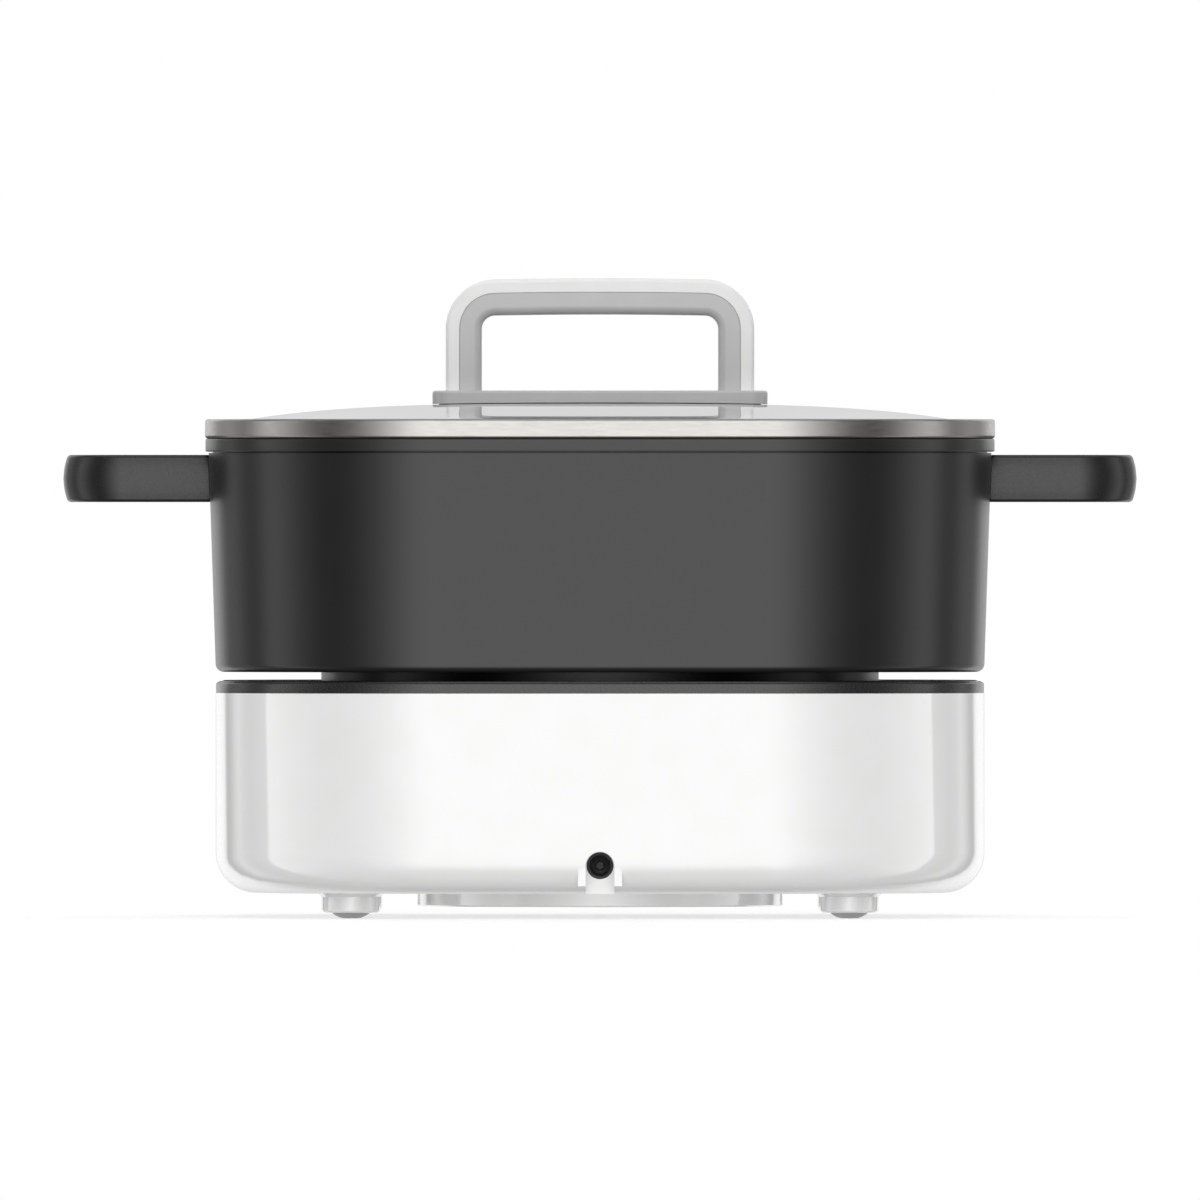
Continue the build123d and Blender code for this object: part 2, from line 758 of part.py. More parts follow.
def sensor_guide():
    """Tube on the pan's floor whose inward lip stops the probe's rise."""
    inner = probe_radius + probe_flange + running
    lip = heater_top - probe_skirt + probe_flange_sheet + probe_travel
    guide = disc(inner + guide_wall, shield_floor, lip + guide_lip)
    guide += disc(inner + guide_wall + guide_flange, shield_floor, shield_floor + guide_flange_sheet)
    guide -= disc(inner, shield_floor - 1, lip)
    return guide - disc(probe_radius + seat_clear, lip - 1, lip + 2 * guide_lip)


def sensor_spring():
    low = shield_floor
    high = heater_top - probe_wall - capsule_height
    rise = high - low - spring_wire
    count = 3 * spring_turns
    places = [Vector(spring_radius * cos(radians(60 * step)), spring_radius * sin(radians(60 * step)),
                     low + spring_wire / 2 + rise * step / (2 * count))
              for step in range(2 * count + 1)]
    coil = Wire(Curve() + [ThreePointArc(*places[step:step + 3])
                           for step in range(0, 2 * count, 2)])
    return sweep(Plane(origin=coil @ 0, z_dir=coil % 0) * Circle(spring_wire / 2), path=coil)


# ---------------------------------------------------------------- control
def control_switch():
    back = dish_floor - housing_wall - switch_depth
    front = dish_floor - housing_wall
    body = Pos(0, back, knob_z) * Box(switch_size, switch_depth, switch_size,
                                      align=(Align.CENTER, Align.MIN, Align.CENTER))
    body = fillet(body.edges().filter_by(Axis.Y), switch_round)
    body += rod(bushing_radius, front, front + bushing_length, z=knob_z)
    body -= rod(shaft_radius + running, back + switch_back_wall, front + 2 * bushing_length,
                z=knob_z)
    tab = Box(tab_width, tab_length, tab_sheet, align=(Align.CENTER, Align.MAX, Align.CENTER))
    for x, _, z in switch_tabs():
        body += Pos(x, back, z) * tab
    return body


def switch_tabs():
    """Outer ends of the switch's three tabs."""
    back = dish_floor - housing_wall - switch_depth
    return [(way * switch_tab_pitch, back - tab_length, knob_z - switch_tab_drop)
            for way in (-1, 0, 1)]


def switch_nut():
    hexagon = RegularPolygon(nut_across / 2, 6, major_radius=False)
    blank = extrude(Plane(origin=(0, dish_floor, knob_z), z_dir=(0, 1, 0)) * hexagon,
                    nut_thickness)
    return blank - rod(bushing_radius + running, 0, face, z=knob_z)


def shaft_end():
    return knob_front - knob_wall - shaft_front_gap


def shaft_section(clear=0.0):
    """Round shaft with one flat, looking along Y."""
    cut = Pos(0, shaft_radius + clear - shaft_flat) * Rectangle(
        3 * shaft_radius, 2 * shaft_radius, align=(Align.CENTER, Align.MIN))
    return Circle(shaft_radius + clear) - cut


def knob_shaft():
    back = dish_floor - housing_wall - switch_depth + switch_back_wall + shaft_back_gap
    flat_start = dish_floor + nut_thickness + hub_gap
    shaft = rod(shaft_radius, back, flat_start, z=knob_z)
    seat = Plane(origin=(0, flat_start, knob_z), x_dir=(1, 0, 0), z_dir=(0, 1, 0))
    return shaft + extrude(seat * shaft_section(), shaft_end() - flat_start)


def control_knob():
    knob = cone(knob_radius, knob_radius - knob_taper, knob_back, knob_front, knob_z)
    knob = fillet(knob.faces().sort_by(Axis.Y)[-1].edges(), knob_edge_round)
    knob -= rod(knob_radius - knob_taper - knob_wall, knob_back - 1, knob_front - knob_wall,
                z=knob_z)
    hub_back = dish_floor + nut_thickness + hub_gap
    hub = rod(shaft_radius + hub_wall, hub_back, knob_front - knob_wall, z=knob_z)
    seat = Plane(origin=(0, hub_back, knob_z), x_dir=(1, 0, 0), z_dir=(0, 1, 0))
    hub -= extrude(seat * shaft_section(running), shaft_end() - hub_back + shaft_bore_room)
    knob += hub
    for x, z in spots(knob_radius - knob_taper / 2 + flute_radius / 2, flute_count):
        knob -= rod(flute_radius, knob_back - 1, knob_front - flute_stop, x=x, z=knob_z + z)
    return knob - pointer_form(running)


def pointer_form(clear=0.0):
    """Inlaid line on the front of the knob, upright at its off position."""
    line = SlotOverall(pointer_length + 2 * clear, pointer_width + 2 * clear, rotation=90)
    middle = knob_radius - knob_taper - pointer_inset - pointer_length / 2
    depth = pointer_depth + clear
    seat = Plane(origin=(0, knob_front - depth, knob_z + middle), x_dir=(1, 0, 0),
                 z_dir=(0, 1, 0))
    return extrude(seat * line, depth)


def dial_ring():
    mouth = dish_radius + dish_flare
    ring = rod(mouth + dial_width - running, face - dial_depth, face + dial_proud, z=knob_z)
    ring -= rod(mouth + running, 0, face + 1, z=knob_z)
    return chamfer(ring.faces().sort_by(Axis.Y)[-1].edges(), dial_chamfer)


def indicator_lens():
    lens = rod(lamp_radius, inner_half, face + lens_proud, x=lamp_offset, z=knob_z)
    lens = fillet(lens.faces().sort_by(Axis.Y)[-1].edges(), lens_round)
    return lens + rod(lamp_socket_radius, inner_half - lamp_flange, inner_half,
                      x=lamp_offset, z=knob_z)


def indicator_lamp():
    front = inner_half - lamp_flange
    back = front - lamp_bulb_length
    lamp = rod(lamp_socket_radius, front - lamp_body_length, back + 1, x=lamp_offset, z=knob_z)
    bulb = rod(lamp_bulb_radius, back, front, x=lamp_offset, z=knob_z)
    return lamp + fillet(bulb.faces().sort_by(Axis.Y)[-1].edges(), lamp_bulb_round)


# ---------------------------------------------------------------- wiring
def block_place():
    return block_side, block_from_wall - inner_half


def block_ways():
    """Middle of each of the terminal block's three ways, at the housing's floor."""
    x, y = block_place()
    return [(x + step * block_pitch, y) for step in (-1, 0, 1)]


def terminal_block():
    length, depth, height = block_size
    x, y = block_place()
    block = Pos(x, y, housing_floor) * Box(length, depth, height, align=(
        Align.CENTER, Align.CENTER, Align.MIN))
    block = chamfer(top_edges(block), block_chamfer)
    for way, _ in block_ways():
        block -= disc(block_screw_radius, housing_floor + block_screw_low,
                      housing_floor + height + 1, way, y)
        block -= rod(lead_radius + seat_clear, y - depth, y + depth, x=way,
                     z=housing_floor + block_way_height)
    return block


def terminal_screws():
    low = housing_floor + block_screw_low
    return [disc(block_screw_radius - running, low, low + block_screw_length, x, y)
            for x, y in block_ways()]


def earth_tag():
    """Ring terminal under the heat shield with the barrel that takes the earth lead."""
    x, y = earth_place
    top = shield_floor - shield_sheet
    width, length = barrel_size
    ring = disc(head_radius + 2 * seat_clear, top - clip_sheet, top, x, y)
    barrel = Box(width, length, width, align=(Align.CENTER, Align.MAX, Align.MAX))
    ring += Pos(x, y - head_radius - seat_clear, top) * barrel
    return ring - disc(screw_radius + running, top - 4, top + 1, x, y)


def lead(*points):
    """Insulated wire along straight runs, joined by arcs as large as the runs allow."""
    spots_along = [Vector(*point) for point in points]
    radii = []
    for before, here, after in zip(spots_along, spots_along[1:], spots_along[2:]):
        turn = radians((here - before).get_angle(after - here))
        shorter = min((here - before).length, (after - here).length)
        radii.append(lead_bend * shorter / tan(turn / 2))
    return tube(FilletPolyline(*spots_along, radius=radii), lead_radius)


def block_exit(way):
    """Where a lead leaves the terminal block, and a point straight ahead of it."""
    x, y = block_ways()[way]
    z = housing_floor + block_way_height
    inside = block_size[1] / 2 - lead_entry
    return (x, y + inside, z), (x, y + block_lead, z)


def tab_end(side):
    """Underside of the element's tab on the side given, -1 or 1."""
    end = [end for end in element_ends() if end.X * side > 0][0]
    return end.X, end.Y, end.Z - pin_length - tab_length


def live_lead():
    """Terminal block to switch, along the +X side of the base."""
    x, y, z = switch_tabs()[2]
    return lead(*block_exit(1), *live_route, (x, y - tab_lead, z), (x, y, z))


def switched_lead():
    """Switch to element, along the -X side of the base."""
    x, y, z = switch_tabs()[0]
    end_x, end_y, low = tab_end(-1)
    return lead((x, y, z), (x, y - tab_lead, z), *switched_route,
                (end_x, end_y, low - switched_drop), (end_x, end_y, low))


def neutral_lead():
    """Terminal block to element."""
    end_x, end_y, low = tab_end(1)
    return lead(*block_exit(0), *neutral_route, (end_x, end_y, low - neutral_drop),
                (end_x, end_y, low))


def earth_lead():
    """Terminal block to the tag under the heat shield."""
    x, y = earth_place
    z = shield_floor - shield_sheet - barrel_size[0] / 2
    back = y - head_radius - seat_clear - barrel_size[1]
    return lead(*block_exit(2), *earth_route, (x, back - tab_lead, z), (x, back, z))


# ---------------------------------------------------------------- pot
def pot_side(grow=0.0):
    """Tapered outer form of the pot, grown sideways by a distance."""
    return extrude(Pos(0, 0, pot_top) * plan(pot_body_width + 2 * grow), -pot_height,
                   taper=pot_draft)


def pot_half_at(z):
    """Half width of the pot's side at a height."""
    return pot_body_width / 2 - (pot_top - z) * sin(radians(pot_draft)) / cos(radians(pot_draft))


def lug_places():
    leg = side_spread - side_thickness / 2
    return [(side, leg * way) for side in (-1, 1) for way in (-1, 1)]


def lug(side, y, grow=0.0):
    root = pot_half_at(side_middle) - lug_root
    size = lug_size + 2 * grow
    block = Box(lug_root + lug_length + grow, size, size,
                align=(Align.MIN, Align.CENTER, Align.CENTER))
    block = fillet(block.edges().filter_by(Axis.X), lug_round + grow)
    return Rot(0, 0, 0 if side > 0 else 180) * Pos(root, y * side, side_middle) * block


def pot_vessel():
    vessel = fillet(bottom_edges(pot_side()), pot_bottom_round)
    band_low = pot_top - pot_band_height
    band = prism(plan(pot_band_width), band_low, pot_top)
    band = chamfer(bottom_edges(band), pot_band_chamfer)
    vessel += chamfer(top_edges(band), pot_band_chamfer)
    groove = prism(plan(pot_band_width + 2), band_low - pot_groove, band_low)
    groove -= prism(plan(pot_body_width - 2 * pot_groove_depth), band_low - pot_groove, band_low)
    vessel -= groove
    foot = chamfer(bottom_edges(disc(pot_foot_radius, heater_top, pot_bottom)), pot_foot_round)
    vessel += foot
    for side, y in lug_places():
        vessel += lug(side, y)
    mouth = pot_band_width - 2 * pot_band_wall
    depth = pot_height - pot_floor
    cavity = extrude(Pos(0, 0, pot_top) * plan(mouth), -depth, taper=pot_draft)
    cavity = fillet(bottom_edges(cavity), pot_inner_round)
    vessel -= cavity
    for side, y in lug_places():
        x = side * (pot_half_at(side_middle) + side_screw_reach)
        vessel -= disc(screw_radius + running, side_middle - lug_size,
                       side_middle + lug_bore_end, x, y)
    return vessel


def pot_handle(side):
    """Swept grip with two legs, cut to the pot's side and socketed for its lugs."""
    root = pot_half_at(side_middle) - leg_root
    path = FilletPolyline((root, -side_spread), (grip_face, -side_spread),
                          (grip_face, side_spread), (root, side_spread), radius=side_corner)
    half = side_height / 2
    inner = -side_thickness
    outer = ThreePointArc((0, -half), (side_bulge, 0), (0, half))
    rest = Polyline((0, half), (inner, half), (inner, -half), (0, -half))
    section = make_face(Curve() + [outer, rest])
    grip_points = section.vertices().group_by(Axis.X)
    section = fillet(grip_points[-1], side_edge_round)
    section = fillet(section.vertices().group_by(Axis.X)[0], side_grip_round)
    start = Plane(origin=(root, -side_spread, side_middle), x_dir=(0, -1, 0), z_dir=(1, 0, 0))
    handle = sweep(start * section, path=Pos(0, 0, side_middle) * path)
    handle = Rot(0, 0, 0 if side > 0 else 180) * handle
    handle -= pot_side(side_seam)
    for place, y in lug_places():
        if place == side:
            handle -= lug(side, y, lug_clear)
            x = side * (pot_half_at(side_middle) + side_screw_reach)
            low = side_middle - half
            handle -= disc(head_radius + 2 * running, low - 1, low + head_height + head_sink, x, y)
            handle -= disc(screw_radius + running, low, side_middle, x, y)
    return handle


# ---------------------------------------------------------------- lid
def dome_height(distance):
    """Height of the glass's upper face above its brim, by distance from the middle."""
    u = abs(distance) / (dome_width / 2)
    return dome_rise - dome_gentle * u ** 2 - (dome_rise - dome_gentle) * u ** 4


def dome(shift):
    """Crowned form that blends the flat brim into the dome, moved down by a distance."""
    layers = []
    for share in dome_steps:
        width = dome_width * share
        z = glass_top + dome_height(width / 2) - shift
        layers.append(Pos(0, 0, z) * RectangleRounded(width, width, dome_corner * share))
    return loft(layers)


def glass_slope(distance):
    """Fall of the glass along Y at a distance from the middle, degrees."""
    step = 0.5
    fall = dome_height(distance - step) - dome_height(distance + step)
    return degrees(atan2(fall, 2 * step))


def lid_glass():
    brim = prism(plan(glass_width), glass_under, glass_top)
    glass = brim + dome(0) - dome(glass_thickness)
    for x in (-lid_screw_spread, lid_screw_spread):
        glass -= disc(lid_hole_radius, glass_under, plate_top, x)
    hole = Pos(0, vent_offset, glass_top + dome_height(vent_offset)) * Rot(
        -glass_slope(vent_offset), 0, 0) * Cylinder(vent_radius + eyelet_sheet + running, 20)
    return glass - hole


def ring_path(width):
    """Closed path along the rounded square, from the middle of its front side."""
    half = width / 2
    radius = half - corner_centre
    reach = corner_centre
    pieces = [Line((0, -half), (reach, -half))]
    for turn, (x, y) in enumerate([(1, -1), (1, 1), (-1, 1), (-1, -1)]):
        pieces.append(CenterArc((x * reach, y * reach), radius, -90 + 90 * turn, 90))
        if turn < 3:
            ahead = pieces[-1] @ 1
            pieces.append(Line(ahead, ahead + (pieces[-1] % 1) * 2 * reach))
    pieces.append(Line((-reach, -half), (0, -half)))
    return Wire(Curve() + pieces)


def ring_sweep(outline, width):
    """Profile of (inward, up) points carried once around the rounded square."""
    start = Plane(origin=(0, -width / 2, 0), x_dir=(0, 1, 0), z_dir=(1, 0, 0))
    return sweep(start * outline, path=ring_path(width))


def lid_rim():
    """Strip steel rolled round the glass: lip, side, shelf and a flange into the mouth."""
    low = pot_top
    high = pot_top + rim_height
    sheet = rim_sheet
    flange_out = (lid_width - pot_band_width) / 2 + pot_band_wall + 2 * seat_clear
    outline = make_face(Polyline(
        (0, low), (0, high), (rim_lip, high), (rim_lip, high - sheet),
        (sheet, high - sheet), (sheet, low + sheet), (flange_out + sheet, low + sheet),
        (flange_out + sheet, low - rim_flange), (flange_out, low - rim_flange),
        (flange_out, low), close=True))
    outside = outline.vertices().group_by(Axis.X)[0]
    return ring_sweep(fillet(outside, rim_fold), lid_width)


def lid_seal_ring():
    """Silicone bed between the shelf of the steel rim and the glass."""
    low = pot_top + rim_sheet
    width = (lid_width - pot_band_width) / 2 + pot_band_wall
    outline = make_face(Polyline((rim_sheet + running, low), (rim_sheet + running, glass_under),
                                 (width, glass_under), (width, low), close=True))
    return ring_sweep(outline, lid_width)


def handle_path():
    """Parting line of the lid handle, from one leg over the bar to the other."""
    half = grip_width / 2 - grip_shell
    high = plate_top + grip_height - grip_shell
    points = [(-half, 0, plate_top), (-half, 0, high - grip_crown), (0, 0, high),
              (half, 0, high - grip_crown), (half, 0, plate_top)]
    radius = grip_corner - grip_shell
    return FilletPolyline(*points, radius=(radius, grip_crown_round, radius))


def handle_sweep(outline):
    path = handle_path()
    return sweep(Plane(origin=path @ 0, x_dir=(-1, 0, 0), z_dir=(0, 0, 1)) * outline, path=path)


def section(near, far, corner):
    """Half of the handle's section between two distances from the parting line."""
    outline = Pos((near + far) / 2, 0) * Rectangle(abs(far - near), grip_depth)
    group = -1 if far > near else 0
    return fillet(outline.vertices().group_by(Axis.X)[group], corner)


def tongue(clear=0.0):
    reach = tongue_height + clear
    return Pos(reach / 2 - 0.5, 0) * Rectangle(reach + 1, tongue_width + 2 * clear)


def under_arc(lift):
    """Curve just above the crowned glass, along the handle plate."""
    reach = plate_length / 2 + 2
    count = 8
    xs = [-reach + 2 * reach * step / count for step in range(count + 1)]
    return Spline([(x, glass_top + dome_height(x) + lift) for x in xs])


def plate_blank(low_lift, high, length, depth, corner):
    """Slab with a rounded plan whose underside follows the crowned glass."""
    curve = under_arc(low_lift)
    start, end = curve @ 0, curve @ 1
    side = make_face(Curve() + [curve, Polyline(end, (end.X, high), (start.X, high), start)])
    slab = extrude(Plane.XZ * side, depth, both=True)
    return slab & prism(RectangleRounded(length, depth, corner), glass_under, high + 1)


def lid_handle_core():
    plate = plate_blank(plate_lift, plate_top, plate_length, plate_depth, plate_corner)
    plate = fillet(top_edges(plate), plate_edge_round)
    core = handle_sweep(section(-seam, -grip_core, grip_finger_round) + tongue()) + plate
    pocket = plate_blank(0, plate_under + gasket_thickness - plate_lift,
                         plate_length - 2 * gasket_inset + 2 * running,
                         plate_depth - 2 * gasket_inset + 2 * running, plate_corner - gasket_inset)
    core -= pocket
    for x in (-lid_screw_spread, lid_screw_spread):
        core -= disc(insert_radius, plate_under, plate_top - insert_cap, x)
    return core


def lid_handle_cover():
    cover = handle_sweep(section(0, grip_shell, grip_edge_round) - tongue(seam))
    return cover


def lid_handle_gasket():
    pad = plate_blank(running, plate_under + gasket_thickness - plate_lift - running,
                      plate_length - 2 * gasket_inset, plate_depth - 2 * gasket_inset,
                      plate_corner - gasket_inset)
    for x in (-lid_screw_spread, lid_screw_spread):
        pad -= disc(lid_hole_radius, glass_under, plate_top, x)
    return pad


def lid_handle_inserts():
    top = plate_top - insert_cap - running
    inserts = []
    for x in (-lid_screw_spread, lid_screw_spread):
        piece = disc(insert_radius - running, top - insert_length, top, x)
        inserts.append(piece - disc(lid_screw_radius + running, plate_under - 1, top - insert_end, x))
    return inserts


def seal_top():
    return glass_top + dome_height(lid_screw_spread + lid_washer_radius) - glass_thickness - running


def lid_screw_seals():
    ring = (disc(lid_washer_radius, seal_top() - lid_seal, seal_top())
            - disc(lid_screw_radius + running, seal_top() - lid_seal - 1, seal_top() + 1))
    return [Pos(x, 0, 0) * ring for x in (-lid_screw_spread, lid_screw_spread)]


def lid_screw_washers():
    top = seal_top() - lid_seal
    ring = disc(lid_washer_radius, top - lid_washer, top)
    ring = fillet(bottom_edges(ring), lid_washer_round)
    ring -= disc(lid_screw_radius + running, top - lid_washer - 1, top + 1)
    return [Pos(x, 0, 0) * ring for x in (-lid_screw_spread, lid_screw_spread)]


def lid_handle_screws():
    under = seal_top() - lid_seal - lid_washer
    length = plate_top - insert_cap - insert_end - 3 * running - under
    places = [(-lid_screw_spread, 0), (lid_screw_spread, 0)]
    return screws(places, under, lid_screw_radius, lid_head_radius, lid_head, length)


def steam_eyelet():
    """Rolled steel eyelet that lines the steam hole."""
    sheet = eyelet_sheet
    below = glass_thickness + 2 * running
    tube = vent_radius + sheet
    outline = [(vent_radius, running + sheet), (eyelet_radius, running + sheet),
               (eyelet_radius, running), (tube, running), (tube, -below),
               (eyelet_radius - eyelet_step, -below),
               (eyelet_radius - eyelet_step, -below - sheet),
               (vent_radius, -below - sheet)]
    return Pos(0, vent_offset, glass_top + dome_height(vent_offset)) * Rot(
        -glass_slope(vent_offset), 0, 0) * turned(outline)


# ---------------------------------------------------------------- write every sub-part
keep("base_housing", base_housing())
keep("cord_gland", cord_gland())
keep("foot_pads", *foot_pads())
keep("bottom_cover", bottom_cover())
keep("bottom_cover_screws", *screws(spots(cover_screw_circle, 4, 45),
                                    housing_bottom - cover_drop + head_height + head_sink,
                                    screw_radius, head_radius, head_height, cover_screw_length))
keep("base_screws", *screws(corners(foot_spread), base_screw_seat, screw_radius,
                            head_radius, head_height, base_screw_length))
keep("top_deck", top_deck())
keep("heat_shield", heat_shield())
keep("shield_screws", *screws(spots(shield_circle, 4), shield_top - shield_sheet,
                              screw_radius, head_radius, head_height, shield_screw_length))
keep("heating_plate", heating_plate())
keep("heating_element", heating_element())
keep("element_terminals", *element_terminals())
keep("heater_screws", *screws(spots(pillar_circle, 3, 90), shield_floor - shield_sheet,
                              screw_radius, head_radius, head_height, heater_screw_length))
keep("limit_thermostat", thermostat())
keep("limiter_screws", *screws(limiter_screw_places(), heater_bottom - clip_sheet,
                               clip_screw_radius, clip_head_radius, clip_head,
                               limiter_screw_length))
keep("thermal_fuse", thermal_fuse())
keep("fuse_clip", fuse_clip())
keep("sensor_guide", sensor_guide())
keep("sensor_cup", sensor_cup())
keep("sensor_capsule", sensor_capsule())
keep("sensor_spring", sensor_spring())
keep("control_switch", control_switch())
keep("switch_nut", switch_nut())
keep("knob_shaft", knob_shaft())
keep("control_knob", control_knob())
keep("knob_pointer", pointer_form())
keep("dial_ring", dial_ring())
keep("indicator_lens", indicator_lens())
keep("indicator_lamp", indicator_lamp())
keep("terminal_block", terminal_block())
keep("terminal_screws", *terminal_screws())
keep("earth_tag", earth_tag())
keep("earth_screw", *screws([earth_place], shield_floor - shield_sheet - clip_sheet,
                            screw_radius, head_radius, head_height, earth_screw_length))
keep("live_lead", live_lead())
keep("switched_lead", switched_lead())
keep("neutral_lead", neutral_lead())
keep("earth_lead", earth_lead())
keep("pot_vessel", pot_vessel())
keep("pot_handle_right", pot_handle(1))
keep("pot_handle_left", pot_handle(-1))
handle_screw_x = pot_half_at(side_middle) + side_screw_reach
keep("pot_handle_screws", *screws([(side * handle_screw_x, y) for side, y in lug_places()],
                                  side_middle - side_height / 2 + head_height + head_sink,
                                  screw_radius, head_radius, head_height, handle_screw_length))
keep("lid_glass", lid_glass())
keep("lid_rim", lid_rim())
keep("lid_seal_ring", lid_seal_ring())
keep("lid_handle_core", lid_handle_core())
keep("lid_handle_cover", lid_handle_cover())
keep("lid_handle_gasket", lid_handle_gasket())
keep("lid_handle_inserts", *lid_handle_inserts())
keep("lid_screw_seals", *lid_screw_seals())
keep("lid_screw_washers", *lid_screw_washers())
keep("lid_handle_screws", *lid_handle_screws())
keep("steam_eyelet", steam_eyelet())
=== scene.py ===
# %% [markdown]
# # Dressing a square electric hot pot
# The hot pot is a split one. A dark cast pot with a glass lid stands in the well of a white base,
# and the heater, the sensor and the switch are inside that base. Every piece already exists as an
# exact solid, in metres, with +Z up and the control knob on the +Y side. This lesson loads those
# solids as a fixed frame, remodels the pieces that the eye rests on as clean meshes, and gives each
# surface the finish that its making would leave.

# %% Load the frame
import json
import math

import bmesh
import bpy
from mathutils import Matrix, Vector


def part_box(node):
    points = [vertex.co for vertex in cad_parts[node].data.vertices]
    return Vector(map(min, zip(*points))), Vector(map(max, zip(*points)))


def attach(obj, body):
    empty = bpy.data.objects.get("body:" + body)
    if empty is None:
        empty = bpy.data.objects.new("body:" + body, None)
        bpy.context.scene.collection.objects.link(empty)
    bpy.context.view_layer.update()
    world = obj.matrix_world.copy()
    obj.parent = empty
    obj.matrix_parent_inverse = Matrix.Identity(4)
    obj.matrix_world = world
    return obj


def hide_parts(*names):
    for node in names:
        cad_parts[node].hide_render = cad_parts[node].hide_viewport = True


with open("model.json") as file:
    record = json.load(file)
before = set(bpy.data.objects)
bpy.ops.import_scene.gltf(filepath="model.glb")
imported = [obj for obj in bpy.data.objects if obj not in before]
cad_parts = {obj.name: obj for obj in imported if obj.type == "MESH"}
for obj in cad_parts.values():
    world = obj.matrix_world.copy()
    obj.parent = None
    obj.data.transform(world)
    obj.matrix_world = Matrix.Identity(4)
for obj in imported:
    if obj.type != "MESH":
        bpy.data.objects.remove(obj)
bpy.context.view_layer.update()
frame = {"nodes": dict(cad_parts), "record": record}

MM = 0.001
nodes = frame["nodes"]

# %% [markdown]
# ## The camera
# A long lens far away keeps upright sides upright, as in a catalogue picture, and still lets the
# other views move round the object. The lens follows from the distance and from the width that the
# picture takes in.

# %% Camera
CAMERA_DISTANCE = 20.0
PICTURE_WIDTH = 432.7 * MM
PICTURE_CENTRE = 114.1 * MM
CAMERA_RISE = math.radians(0.1)

camera = bpy.data.objects.new("camera", bpy.data.cameras.new("camera"))
bpy.context.scene.collection.objects.link(camera)
bpy.context.scene.camera = camera
camera.data.lens = camera.data.sensor_width * CAMERA_DISTANCE / PICTURE_WIDTH
camera.data.clip_start = 1.0
camera.data.clip_end = 2 * CAMERA_DISTANCE
camera.location = (0, -CAMERA_DISTANCE * math.cos(CAMERA_RISE),
                   PICTURE_CENTRE + CAMERA_DISTANCE * math.sin(CAMERA_RISE))
camera.rotation_euler = (math.radians(90) - CAMERA_RISE, 0, 0)
bpy.context.scene.view_settings.view_transform = "Standard"
print("lens:", round(camera.data.lens), "mm")

# %% [markdown]
# ## Nodes of a material
# A shader tree is a chain of small nodes. One helper adds a node, sets its properties, and then
# either sets or links each input. An input is called by its name, or by its number where several
# share one, as the two colours of a Mix node do. Colours are written as the hex values that a
# colour picker shows, and one function turns them to the linear light that the renderer counts in.
# Noise seldom leaves the middle of its range, so that middle is spread over a change of tone or
# gloss.

# %% Helpers for materials
NOISE_LOW = 0.3
NOISE_HIGH = 0.7


def linear(colour):
    """An sRGB hex colour as linear red, green, blue and alpha."""
    parts = [int(colour[i:i + 2], 16) / 255 for i in (1, 3, 5)]
    return [p / 12.92 if p <= 0.04045 else ((p + 0.055) / 1.055) ** 2.4 for p in parts] + [1.0]


def add(tree, kind, inputs=None, **settings):
    """Add a node to a tree, with its settings, its values and its links."""
    node = tree.nodes.new(kind)
    for name, value in settings.items():
        setattr(node, name, value)
    for socket, value in (inputs or {}).items():
        if isinstance(value, bpy.types.NodeSocket):
            tree.links.new(value, node.inputs[socket])
        else:
            node.inputs[socket].default_value = value
    return node


def surface(name, colour, roughness, **sockets):
    """A new material whose constants are set on the shader's own sockets."""
    material = bpy.data.materials.new(name)
    material.use_nodes = True
    tree = material.node_tree
    shader = tree.nodes["Principled BSDF"]
    shader.inputs["Base Color"].default_value = linear(colour)
    shader.inputs["Roughness"].default_value = roughness
    for socket, value in sockets.items():
        shader.inputs[socket.replace("_", " ")].default_value = value
    return material, tree, shader


def pattern(tree, size, stretch=(1, 1, 1), detail=2.0):
    """Noise whose patches are about size metres across, on the piece's own coordinates."""
    place = add(tree, "ShaderNodeTexCoord")
    turned = add(tree, "ShaderNodeMapping", {"Vector": place.outputs["Object"], "Scale": stretch})
    return add(tree, "ShaderNodeTexNoise", {"Vector": turned.outputs["Vector"],
                                            "Scale": 1 / size, "Detail": detail}).outputs["Fac"]


def relief(tree, shader, height, depth):
    """Bump of a real depth in metres."""
    bump = add(tree, "ShaderNodeBump", {"Height": height, "Distance": depth, "Strength": 1.0})
    tree.links.new(bump.outputs["Normal"], shader.inputs["Normal"])
    return bump


def vary_roughness(tree, shader, source, low, high):
    """Roughness that wanders between two values with a pattern."""
    spread = add(tree, "ShaderNodeMapRange", {"Value": source, "From Min": NOISE_LOW,
                                              "From Max": NOISE_HIGH, "To Min": low,
                                              "To Max": high})
    tree.links.new(spread.outputs["Result"], shader.inputs["Roughness"])


def vary_colour(tree, shader, source, first, second):
    """Base colour that wanders between two hex colours with a pattern."""
    even = add(tree, "ShaderNodeMapRange", {"Value": source, "From Min": NOISE_LOW,
                                            "From Max": NOISE_HIGH})
    blend = add(tree, "ShaderNodeMix", {0: even.outputs["Result"], 6: linear(first),
                                        7: linear(second)}, data_type="RGBA")
    tree.links.new(blend.outputs[2], shader.inputs["Base Color"])


# %% [markdown]
# ## Moulded plastics
# The base is ABS, injected into a polished mould and lacquered: a hard bright gloss with a very
# faint waviness where the melt cooled. The handles are filled plastic from an eroded mould, so
# their gloss is broken by a fine grain. The melt's waves are several millimetres long and the
# eroded grain is a few tenths, and both are only microns deep.


